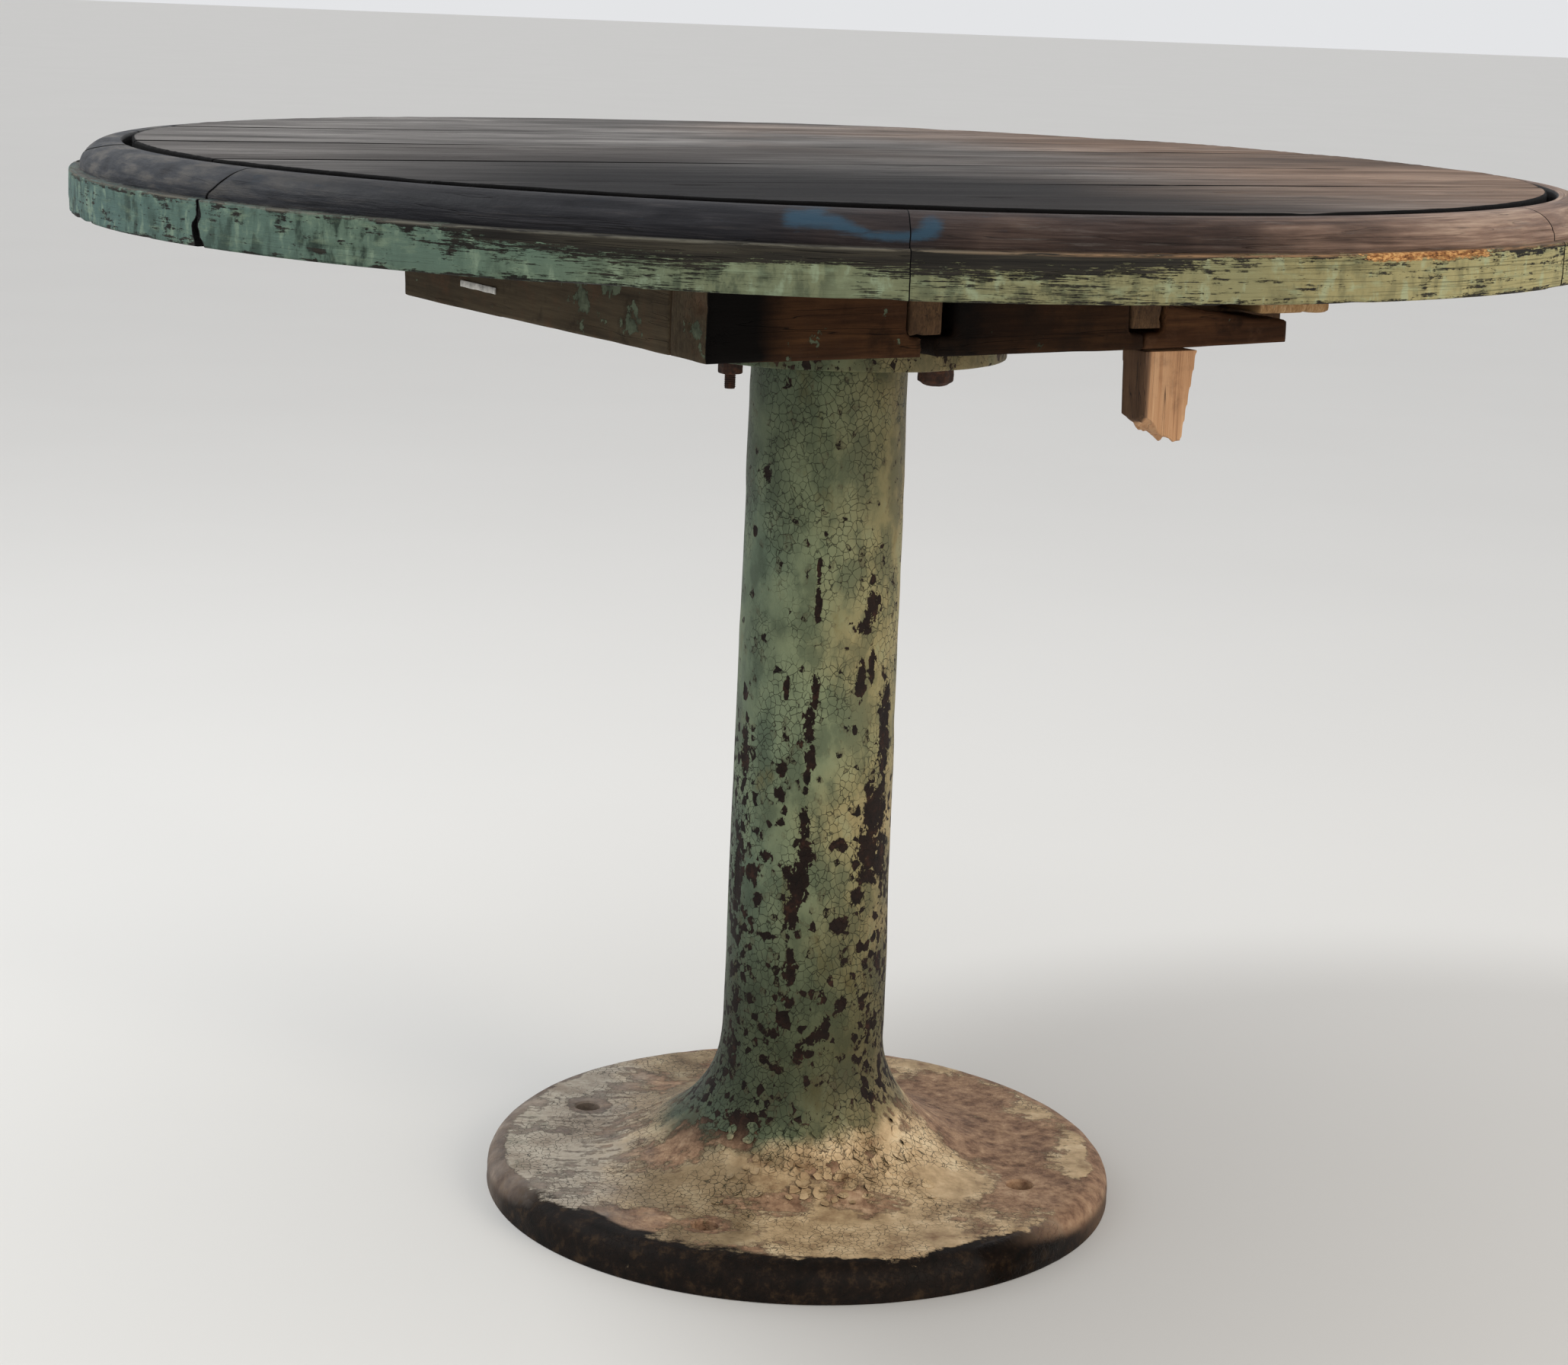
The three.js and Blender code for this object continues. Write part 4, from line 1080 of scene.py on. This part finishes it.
def rim_sections(start, stop, next_joint):
    """A board's sections from joint to joint, with its sawn faces and nicked edges."""
    radius, height = rim_section().T
    length = math.radians(stop - start) * RIM_R
    close = np.array([0, 0.0005, 0.0015]) / length
    between = np.linspace(0, 1, math.ceil(length / RIM_STEP) + 1)[1:-1]
    share = np.concatenate([close, between, 1 - close[::-1]])[:, None]
    near = (1 - share) * np.exp(-share * length / JOINT_REACH)
    far = share * np.exp(-(1 - share) * length / JOINT_REACH)
    pulled = joint_side(start, height, 1) * near + joint_side(next_joint, height, -1) * far
    arcs = math.radians(start) + math.radians(stop - start) * share + pulled / radius
    along, radius, height = np.broadcast_arrays(arcs * RIM_R, radius, height)
    out = rim_relief(along, radius, height) * rise(radius, 0.484, 0.492)
    flat = joined(along, 0, 0)
    nick = rise(noise(flat, 0.05, 34) + 0.4 * noise(flat, 0.012, 35), 0.2, 1.0)
    nick = nick * rise(np.hypot(radius - RIM_R, height - TOP_UNDER_Z), 0.009, 0.001)
    top_nick = rise(noise(flat, 0.03, 36), 0.4, 1.0)
    top_nick = top_nick * rise(np.hypot(radius - RIM_R, height - LEDGE_Z), 0.006, 0.001)
    moved_r = radius + out - 0.0010 * nick - 0.0012 * top_nick
    moved_z = height + 0.0010 * nick - 0.0008 * top_nick
    moved_z = moved_z + np.where(height > LEDGE_Z + 0.012, 0.4, 0) * out
    return joined(moved_r * np.cos(arcs), moved_r * np.sin(arcs), moved_z)


def rim_marks(points, number, start, stop, next_joint):
    """What the rim's material reads at each point of a board."""
    angle = np.degrees(np.arctan2(points[:, 1], points[:, 0]))
    radius, height = from_axis(points), points[:, 2]
    along = np.radians(angle) * RIM_R + number
    ledge = rise(LEDGE_Z - height, 0.009, 0.0) * rise(radius, 0.512, 0.516)
    raw = ledge * rise(np.abs(angle + 49), 10, 3)
    groove = rise(np.abs(radius - RING_INNER_R), 0.004, 0.001) * rise(np.abs(angle + 45), 30, 10)
    unwrapped = np.where(angle < start - 20, angle + 360, angle)
    from_start = np.radians(unwrapped - start) * radius - joint_side(start, height, 1)
    from_stop = np.radians(stop - unwrapped) * radius + joint_side(next_joint, height, -1)
    in_joint = np.maximum(end_shade(start, from_start), end_shade(next_joint, from_stop))
    # Painted shade: the ring's inner face darkened down the groove beside the deck.
    groove_shade = rise(radius, RING_INNER_R + 0.0025, RING_INNER_R + 0.0006)
    return {
        "grain": joined(along, radius + height + number * 0.37, height),
        "wear": rim_wear(angle, height, radius),
        "smear": rim_smear(angle, height),
        "brushed": middle_zone(angle),
        "fresh": np.maximum(raw, 0.45 * groove),
        "groove": np.maximum(in_joint, groove_shade),
    }


def rim_board(number, start, stop, finish):
    next_joint = stop if stop in JOINT_SHAPES else stop - 360
    board = mesh_object(f"rim_board_{number}", *loft(rim_sections(start, stop, next_joint)))
    seat = low(f"ring_screw_{number}").z - TOP_UNDER_Z
    counterbore = [
        (0, -0.01),
        (0.0063, -0.01),
        (0.0063, seat + 0.0004),
        (0.0030, seat + 0.0044),
        (0.0030, 0.012),
        (0, 0.012),
    ]
    place = polar(RING_SCREW_CIRCLE_R, (start + stop) / 2, TOP_UNDER_Z)
    bored(board, counterbore, 24, place)
    mark(board, **rim_marks(points_of(board), number, start, stop, next_joint))
    shown(board, "head", finish, [f"ring_segment_{number}"])


def middle_zone(angle):
    """The rim's middle third, where the band is scrubbed dark."""
    return rise(angle, -120, -103) * rise(angle, -62, -76)


def rim_wear(angle, height, radius):
    """How far the rim band's paint is worn: most in the upper part of its middle."""
    up = (height - TOP_UNDER_Z) / (LEDGE_Z - TOP_UNDER_Z)
    middle = middle_zone(angle)
    right = rise(angle, -62, -50) * rise(angle, 40, 0)
    upper = rise(up, 0.28, 1.0)
    wear = 0.04 + 0.38 * middle * upper + 0.12 * rise(up, 0.8, 1.0) + 0.05 * right * upper
    wear = wear + 0.1 * rise(up, 0.12, 0.02)
    sound = rise(np.abs(angle + 92.5), 4.5, 3) * rise(up, 0.7, 0.5)
    wear = wear * (1 - sound) - 0.1 * sound
    under = rise(radius, RIM_R - 0.001, RIM_R - 0.004) * rise(up, 0.05, 0.0)
    return wear + 0.5 * under


# A smear of blue paint: places along the moulding from the front, heights, and half its width.
SMEAR_PATH = (
    (-0.022, 0.7430, 0.0080),
    (-0.010, 0.7435, 0.0080),
    (0.000, 0.7415, 0.0065),
    (0.009, 0.7380, 0.0048),
    (0.018, 0.7358, 0.0040),
    (0.030, 0.7350, 0.0038),
    (0.042, 0.7355, 0.0045),
    (0.050, 0.7380, 0.0060),
    (0.053, 0.7425, 0.0070),
)


def rim_smear(angle, height):
    along = (angle + 90) * math.pi / 180 * MOULDING_R
    flat = joined(along, height, 0)
    places = []
    for before, after in zip(SMEAR_PATH, SMEAR_PATH[1:]):
        for share in (0, 0.25, 0.5, 0.75):
            x, z, reach = (a + share * (b - a) for a, b in zip(before, after))
            places.append(((x, z, 0), (1.6 * reach, reach, 1)))
    return spots(flat, places)


def rim(finish):
    starts = list(JOINT_SHAPES)
    stops = [*starts[1:], starts[0] + 360]
    for number, (start, stop) in enumerate(zip(starts, stops), start=1):
        rim_board(number, start, stop, finish)


# ---- Planks -------------------------------------------------------------------------------


def slab(name, stations, spans, bottom, top, rounding, step):
    """A flat body with a rounded top edge. At each station it spans from one side to the other."""
    widest = max(b - a for a, b in spans)
    count = max(6, math.ceil(widest / step))
    quarter = np.radians(np.linspace(0, 90, 5))
    sections = []
    for place, (a, b) in zip(stations, spans):
        from_end = min(place - stations[0], stations[-1] - place)
        drop = 0.0
        if from_end < rounding:
            drop = rounding - math.sqrt(rounding**2 - (rounding - from_end) ** 2)
        inset = min(rounding, (b - a) / 4)
        underside = [(s, bottom) for s in np.linspace(a, b, 12)]
        right = [(b - inset * (1 - math.cos(t)), top - inset + inset * math.sin(t)) for t in quarter]
        across = [(s, top) for s in np.linspace(b - inset, a + inset, count)[1:-1]]
        left = [
            (a + inset * (1 - math.cos(t)), top - inset + inset * math.sin(t)) for t in quarter[::-1]
        ]
        section = underside + right + across + left
        sections.append([(place, s, min(z, top - drop)) for s, z in section])
    return mesh_object(name, *loft(np.array(sections)))


def ends_spaced(start, stop, step, rounding):
    """Stations from start to stop, closer together over the rounding at both ends."""
    close = rounding * np.array([0, 0.1, 0.3, 0.6])
    middle = np.linspace(start + rounding, stop - rounding, max(2, math.ceil((stop - start) / step)))
    return [*(start + close), *middle, *(stop - close[::-1])]


def disc_slab(name, near, far, radius, bottom, top, rounding, step, long_step):
    """The part of a disc between two seams, its length along local X."""
    if near is None or far is None:
        seam = far if near is None else near
        sign = -1 if near is None else 1
        reach = math.sqrt(radius**2 - seam**2) * 0.998
        stations = ends_spaced(-reach, reach, long_step, rounding)
        spans = []
        for x in stations:
            edge = sign * math.sqrt(radius**2 - x**2)
            spans.append((min(seam, edge), max(seam, edge)))
        return slab(name, stations, spans, bottom, top, rounding, step)
    stations = ends_spaced(near, far, step, rounding)
    spans = [(-math.sqrt(radius**2 - s**2), math.sqrt(radius**2 - s**2)) for s in stations]
    made = slab(name, stations, spans, bottom, top, rounding, long_step)
    points = points_of(made)
    move_points(made, points[:, [1, 0, 2]])
    made.data.flip_normals()
    return made


def plank(number, near, far, finish):
    rounding = 0.0018
    sizes = (LAP_Z + PLANK_LAP_RISE, FACE_Z, rounding, 0.0024, 0.007)
    board = disc_slab(f"deck_board_{number}", near, far, PLANK_R, *sizes)
    under_sizes = (TOP_UNDER_Z, LAP_Z + 0.002, 0.0005, 0.012, 0.02)
    under = disc_slab("under", near, far, PLANK_LAP_R, *under_sizes)
    combined(board, under, "UNION")
    points = points_of(board)
    grain = points + np.array([number * 1.7, number * 0.53, 0])
    upper = rise(points[:, 2], FACE_Z - 0.004, FACE_Z - 0.001)
    ridges = 0.00016 * noise(grain, (0.16, 0.0048, 1), 41)
    ridges = ridges + 0.00012 * noise(grain, (0.06, 0.003, 1), 42)
    hollows = 0.0005 * noise(grain, (0.3, 0.08, 1), 43)
    inner, outer = (-PLANK_R if near is None else near), (PLANK_R if far is None else far)
    across = (points[:, 1] - (inner + outer) / 2) / ((outer - inner) / 2)
    cup = -0.0006 * across**4
    dents = -0.0009 * rise(noise(grain, (0.05, 0.012, 1), 44), 0.6, 0.95)
    points[:, 2] += upper * (ridges + hollows + cup + dents - 0.0003)
    points[:, 1] += 0.0004 * noise(grain, (0.03, 1, 0.02), 45) * rise(np.abs(across), 0.97, 1.0)
    # Nearness to a seam or the outer edge, which the material darkens as painted shade.
    from_seam = (1 - np.abs(across)) * (outer - inner) / 2
    from_edge = np.minimum(PLANK_R - from_axis(points), from_seam)
    move_points(board, turned(points, PLANK_TURN))
    mark(board, groove=rise(from_edge, 0.0028, 0.0008), grain=grain)
    shown(board, "head", finish, [f"top_plank_{number}"])


def deck(finish):
    half = SEAM / 2
    nears = [None, *(s + half for s in PLANK_SEAMS)]
    fars = [*(s - half for s in PLANK_SEAMS), None]
    for number, (near, far) in enumerate(zip(nears, fars), start=1):
        plank(number, near, far, finish)


# ---- Underframe ---------------------------------------------------------------------------


def timber(node, slot, finish, seed, axis=0, voxel=0.0024, rough=0.0004, spoil=None, **marks):
    """A worn copy of a square timber: rounded edges, sawn faces and dents. Axis is its grain's."""
    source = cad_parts[node]
    board = bpy.data.objects.new(node + "_timber", source.data.copy())
    bpy.context.scene.collection.objects.link(board)
    board.data.transform(Matrix.Rotation(math.radians(-FRAME_TURN), 4, "Z"))
    remesh = board.modifiers.new("voxels", "REMESH")
    remesh.mode = "VOXEL"
    remesh.voxel_size = voxel
    soften = board.modifiers.new("soften", "SMOOTH")
    soften.factor = 0.5
    soften.iterations = 2
    settled(board)
    points = points_of(board)
    order = [axis, *(a for a in (0, 1, 2) if a != axis)]
    grain = points[:, order] + np.array([seed * 1.3, seed * 0.41, seed * 0.23])
    out = rough * (noise(grain, (0.08, 0.012, 0.012), 51 + seed) + 0.5 * noise(points, 0.02, 61 + seed))
    out = out - rough - 0.0014 * rise(noise(grain, (0.04, 0.012, 0.012), 71 + seed), 0.62, 0.95)
    points = points_of(swollen(board, out))
    if spoil:
        points = spoil(points)
    move_points(board, turned(points, FRAME_TURN))
    marked = {name: marks[name](points) if name in marks else 0.0 for name in ("wear", "soot", "bleach")}
    mark(board, grain=grain, **marked)
    shown(board, "head", finish, [node], crease=60)


def torn_end(points):
    """The peg's lower end is broken off on the slant, along its fibres."""
    left, right = points[:, 0].min(), points[:, 0].max()
    share = (points[:, 0] - left) / (right - left)
    end_z = points[:, 2].min() + 0.015 * (1 - share)
    near = rise(points[:, 2], end_z + 0.03, end_z + 0.004)
    flat = points * np.array([1, 1, 0])
    torn = 0.0035 * noise(flat, (0.009, 0.012, 1), 81) + 0.0018 * noise(flat, 0.0035, 82)
    points[:, 2] += near * (torn + 0.003)
    return points


def near_face(local, axis, reach, full):
    """1 at a timber's lowest face across an axis and 0 from a reach behind it."""
    return rise(local[:, axis] - local[:, axis].min(), reach, full)


def green_flakes(local):
    """Where old paint has stayed on the left bearer."""
    face = local[:, 0].min()
    places = [
        ((face, -0.042, 0.660), (0.020, 0.036, 0.024)),
        ((face, -0.075, 0.671), (0.020, 0.020, 0.014)),
        ((face, -0.110, 0.652), (0.020, 0.026, 0.016)),
        ((face, -0.135, 0.680), (0.020, 0.018, 0.010)),
        ((face, -0.192, 0.657), (0.020, 0.022, 0.014)),
    ]
    return 0.65 * spots(local, places) + 0.02


def left_face(local):
    """The weathered outer face at the frame's left."""
    return near_face(local, 0, 0.004, 0.001)


def front_soot(local):
    """Painted shade: near-black at the left end of the front run's front face, fading along it, and
    darker along its top.
    """
    stain = 1.0 * rise(local[:, 0], -0.150, -0.212) + 0.36 * rise(local[:, 0], -0.03, -0.12)
    return near_face(local, 1, 0.004, 0.001) * stain + 0.25 * rise(local[:, 2], 0.69, 0.70)


def front_middle_shade(local):
    """Painted shade: the middle length of the front run darkened, deepest along the top and at its left.
    """
    return 0.55 + 0.2 * rise(local[:, 2], 0.665, 0.69) + 0.2 * near_face(local, 0, 0.09, 0.0)


def top_edge_shade(local):
    """Painted shade: a lighter darkening along the top."""
    return 0.12 + 0.3 * rise(local[:, 2], 0.67, 0.69)


def shaded_left_face(local):
    """Painted shade: the darker face at the peg's left, away from the light."""
    return near_face(local, 0, 0.006, 0.003)


def tan_end(local):
    """The right bearer's paler front end."""
    return rise(local[:, 1], -0.15, -0.19)


def underframe(dark, brown, pale):
    weathered = {"wear": green_flakes, "bleach": left_face}
    timber("front_bearer_left", "frame_timber", dark, 1, soot=front_soot, **weathered)
    timber("front_bearer_middle", "frame_timber", dark, 2, soot=front_middle_shade)
    timber("front_bearer_right", "frame_timber", dark, 3, soot=top_edge_shade)
    timber("left_bearer", "frame_timber", dark, 4, axis=1, **weathered)
    timber("back_bearer", "frame_timber", dark, 5, voxel=0.003)
    timber("right_bearer", "joist_timber", brown, 6, axis=1, rough=0.0006, wear=tan_end)
    timber("joist_1", "joist_timber", brown, 7, axis=1)
    timber("joist_2", "joist_timber", brown, 8, axis=1)
    timber("hub_board", "joist_timber", brown, 9, voxel=0.003)
    timber("turning_peg", "peg_timber", pale, 10, axis=2, voxel=0.0016, spoil=torn_end, soot=shaded_left_face)


# ---- Hardware -----------------------------------------------------------------------------


def hexagon(name, centre, across_flats, bottom, top, turn=0.0):
    """A hexagonal head with its corners turned off above and below."""
    corner_r = across_flats / math.sqrt(3)
    body = lathe(name, rod(corner_r, bottom, top), 6, centre, turn)
    flat_r, fall = across_flats * 0.47, across_flats * 0.06
    outline = [
        (0, bottom - 1e-4),
        (flat_r, bottom - 1e-4),
        (corner_r + 5e-4, bottom + fall),
        (corner_r + 5e-4, top - fall),
        (flat_r, top + 1e-4),
        (0, top + 1e-4),
    ]
    return combined(body, lathe("chamfer", outline, 48, centre), "INTERSECT")


def threaded(name, centre, radius, bottom, top, pitch, depth):
    """A rod with a helical thread that fades out at both ends."""
    angles = np.radians(np.arange(0, 360, 10))
    sections = []
    for z in np.arange(bottom, top, pitch / 8):
        phase = (z / pitch - angles / (2 * math.pi)) % 1.0
        fade = rise(min(z - bottom, top - z), 0, pitch)
        r = radius - depth * (1 - np.abs(2 * phase - 1)) * fade - depth * (1 - fade)
        sections.append(joined(centre[0] + r * np.cos(angles), centre[1] + r * np.sin(angles), z))
    return mesh_object(name, *loft(np.array(sections)))


def roughened(thing, reach, size, seed):
    """A fine all-over unevenness, for rust."""
    detail = thing.modifiers.new("detail", "REMESH")
    detail.mode = "VOXEL"
    detail.voxel_size = size
    settled(thing)
    return swollen(thing, reach * noise(points_of(thing), size * 3, seed) - reach)


def hub_bolt(rusty, place, under):
    """The one bolt, its thread showing below its nut."""
    bolt_low, bolt_high = low("hub_bolt").z, high("hub_bolt").z
    thread = (BOLT_PITCH, 0.0006)
    shank = threaded("rusty_bolt", place, BOLT_R, bolt_low, bolt_high - 0.004, *thread)
    head = hexagon("head", place, BOLT_FLATS, bolt_high - 0.0058, bolt_high)
    combined(shank, head, "UNION")
    shown(shank, "head", rusty, ["hub_bolt"])
    nut_low = low("hub_nut").z
    nut = hexagon("rusty_nut", place, NUT_FLATS, nut_low, under)
    bored(nut, rod(NUT_BORE_R, nut_low - 0.01, under + 0.01), 32, place)
    shown(roughened(nut, 0.00012, 0.0006, 3), "head", rusty, ["hub_nut"])


def coach_screw(rusty, number, place, under):
    """A big hexagonal head with a crowned underside, driven upwards."""
    node = f"coach_screw_{number}"
    crown_low, end = low(node).z, high(node).z
    screw = hexagon(f"rusty_coach_screw_{number}", place, COACH_FLATS, COACH_HEAD_Z, under)
    crown = [
        (0, crown_low),
        (0.006, crown_low + 0.0002),
        (0.009, crown_low + 0.0012),
        (0.0102, crown_low + 0.0030),
        (0.0102, COACH_HEAD_Z + 0.002),
        (0, COACH_HEAD_Z + 0.002),
    ]
    combined(screw, lathe("crown", crown, 40, place), "UNION")
    start = COACH_HEAD_Z + 0.008
    shank = [(0, start), (COACH_SHANK_R, start), (COACH_SHANK_R, end - 0.008), (0, end)]
    combined(screw, lathe("shank", shank, 32, place), "UNION")
    shown(roughened(screw, 0.0002, 0.0008, 5 + number), "head", rusty, [node])


def hub_fasteners(rusty):
    under = FLANGE_UNDER_Z - 0.0003
    places = quarters(BOLT_CIRCLE_R, BOLT_TURN)
    hub_bolt(rusty, places[2], under)
    for number, quarter in enumerate((3, 0, 1), start=1):
        coach_screw(rusty, number, places[quarter], under)


def wood_screw(name, node, finish, turn):
    """A slotted countersunk screw, driven upwards, its slot turned by so many degrees."""
    (x0, y0, z0), (x1, y1, z1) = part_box(node)
    centre = ((x0 + x1) / 2, (y0 + y1) / 2, 0)
    outline = [
        (0, z0),
        (SCREW_HEAD_R - 0.0003, z0),
        (SCREW_HEAD_R, z0 + 0.0004),
        (SCREW_SHANK_R, z0 + 0.0040),
        (SCREW_SHANK_R, z1 - 0.008),
        (0.0003, z1),
        (0, z1),
    ]
    screw = lathe(name, outline, 32, centre)
    reach, half = SCREW_HEAD_R + 0.0025, SCREW_SLOT / 2
    corners = turned([(-reach, -half, 0), (reach, -half, 0), (reach, half, 0), (-reach, half, 0)], turn)
    sections = np.array([corners + (centre[0], centre[1], z) for z in (z0 - 0.002, z0 + 0.0014)])
    combined(screw, mesh_object("slot", *loft(sections)), "DIFFERENCE")
    shown(screw, "head", finish, [node], crease=25)


def screws(finish):
    for kind, count, turn in (("frame_screw", 6, 37.0), ("ring_screw", 7, 61.0)):
        for number in range(1, count + 1):
            node = f"{kind}_{number}"
            wood_screw("slotted_" + node, node, finish, turn * number)


def strip(finish):
    """A thin blank strip on the left bearer, slightly bowed."""
    lo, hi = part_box("bearer_strip")
    length = math.hypot(hi.x - lo.x, hi.y - lo.y)
    local = turned(points_of(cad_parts["bearer_strip"]), -FRAME_TURN)
    (u0, v0, z0), (u1, v1, z1) = local.min(0), local.max(0)
    sections = []
    for v in np.linspace(v0, v1, 40):
        along = math.pi * (v - v0) / length
        bow, pull = 0.0006 * math.sin(along), 0.00015 * math.sin(5 * along)
        face, low_z = u0 + bow, z0 + pull
        ring = [
            (u1, low_z),
            (face + 0.0003, low_z),
            (face, low_z + 0.0005),
            (face, z1 - 0.0005),
            (face + 0.0003, z1),
            (u1, z1),
        ]
        sections.append(turned([(u, v, z) for u, z in ring], FRAME_TURN))
    made = mesh_object("blank_strip", *loft(np.array(sections)))
    shown(made, "head", finish, ["bearer_strip"])


# ---- Bearings -----------------------------------------------------------------------------


def ring_outline(inner, outer, bottom, top):
    return [
        *corner((outer, bottom), (-1, 0), (0, 1), BEVEL, 2),
        *corner((outer, top), (0, -1), (-1, 0), BEVEL, 2),
        *corner((inner, top), (1, 0), (0, -1), BEVEL, 2),
        *corner((inner, bottom), (0, 1), (1, 0), BEVEL, 2),
    ]


def bearings(steel, bronze):
    """The turned parts in the column: rounder copies of the frame's, with their edges taken off."""
    for node, body, slot, finish, inner in (
        ("lower_bush", "pedestal", "bush_bronze", bronze, BUSH_BORE_R),
        ("upper_thrust_washer", "pedestal", "bright_steel", steel, THRUST_BORE_R),
        ("lower_thrust_washer", "pedestal", "bright_steel", steel, THRUST_BORE_R),
        ("spindle_washer", "head", "bright_steel", steel, SPINDLE_WASHER_BORE_R),
    ):
        lo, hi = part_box(node)
        made = lathe("turned_" + node, ring_outline(inner, hi.x, lo.z, hi.z), 128)
        shown(made, body, finish, [node], crease=25)
    lo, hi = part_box("upper_bush")
    shoulder = hi.z - BUSH_FLANGE
    outline = [
        (BUSH_BORE_R, lo.z + BEVEL),
        (BUSH_MOUTH_R, lo.z),
        (BUSH_R - BEVEL, lo.z),
        (BUSH_R, lo.z + BEVEL),
        (BUSH_R, shoulder),
        *corner((hi.x, shoulder), (-1, 0), (0, 1), BEVEL, 2),
        *corner((hi.x, hi.z), (0, -1), (-1, 0), BEVEL, 2),
        (BUSH_MOUTH_R, hi.z),
        (BUSH_BORE_R, hi.z - BEVEL),
    ]
    bush = lathe("turned_upper_bush", outline, 128)
    shown(bush, "pedestal", bronze, ["upper_bush"], crease=25)
    for node in ("spindle", "hub_key", "retaining_collar", "collar_pin", "spindle_nut"):
        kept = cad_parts[node]
        kept.data.materials.clear()
        kept.data.materials.append(steel)


# ---- Stage --------------------------------------------------------------------------------

CAMERA_PLACE = (0.0, -2.18233, 0.86514)
CAMERA_PAN = -0.615
CAMERA_PITCH = 12.631
CAMERA_ROLL = 2.210
LENS = 71.72
SENSOR = 36.0
FLOOR_REACH = 60.0


def camera():
    pan, pitch, roll = (math.radians(a) for a in (CAMERA_PAN, CAMERA_PITCH, CAMERA_ROLL))
    level = np.array([math.sin(pan), math.cos(pan), 0.0])
    ahead = level * math.cos(pitch) - np.array([0.0, 0.0, math.sin(pitch)])
    right = np.array([math.cos(pan), -math.sin(pan), 0.0])
    up = np.cross(right, ahead)
    rolled_right = right * math.cos(roll) + up * math.sin(roll)
    rolled_up = up * math.cos(roll) - right * math.sin(roll)
    data = bpy.data.cameras.new("camera")
    data.lens = LENS
    data.sensor_width = SENSOR
    made = bpy.data.objects.new("camera", data)
    placed = np.eye(4)
    placed[:3] = np.stack([rolled_right, rolled_up, -ahead, CAMERA_PLACE], axis=1)
    made.matrix_world = Matrix(placed.tolist())
    bpy.context.scene.collection.objects.link(made)
    bpy.context.scene.camera = made


def floor():
    f = Finish("floor", roughness=0.7, specular=0.2)
    mottle = f.noise(f.place, 0.6, detail=4, seed=200)
    f.colour(f.ramp(mottle, (0.3, "dfddd9"), (0.7, "e1dfdb")))
    r = FLOOR_REACH
    made = mesh_object("floor", [(-r, -r, 0), (r, -r, 0), (r, r, 0), (-r, r, 0)], [[0, 1, 2, 3]])
    made.data.materials.append(f.material)


def lamp(name, place, aim, size, power, colour):
    data = bpy.data.lights.new(name, "AREA")
    data.shape = "DISK"
    data.size = size
    data.energy = power
    data.color = colour
    made = bpy.data.objects.new(name, data)
    away = Vector(place) - Vector(aim)
    made.rotation_euler = away.to_track_quat("Z", "Y").to_euler()
    made.location = place
    bpy.context.scene.collection.objects.link(made)


def light():
    world = bpy.data.worlds.new("studio")
    world.use_nodes = True
    background = world.node_tree.nodes["Background"]
    background.inputs["Color"].default_value = (0.97, 0.98, 1.0, 1.0)
    background.inputs["Strength"].default_value = 0.8
    bpy.context.scene.world = world
    lamp("window", (-1.9, 0.2, 2.9), (-0.1, 0, 0.2), 0.7, 42, (0.95, 0.98, 1.0))
    lamp("front", (2.4, -2.2, 1.3), (0, 0, 0.45), 1.8, 42, (1.0, 0.9, 0.76))
    bpy.context.scene.view_settings.view_transform = "Standard"


# ---- Everything together ------------------------------------------------------------------

camera()
floor()
light()
steel = oiled_metal("bright_steel", "6f6962", "a5a09a", 0.015, 95)
bronze = oiled_metal("bush_bronze", "8a6430", "c79a55", 0.012, 97)
green_casting = cast_paint()
pedestal_casting(green_casting)
paint_flakes(green_casting)
hub_flange(green_casting)
rim(rim_paint())
deck(deck_timber())
underframe(frame_timber(), joist_timber(), peg_timber())
hub_fasteners(rusty_steel())
screws(steel)
strip(pale_strip())
bearings(steel, bronze)
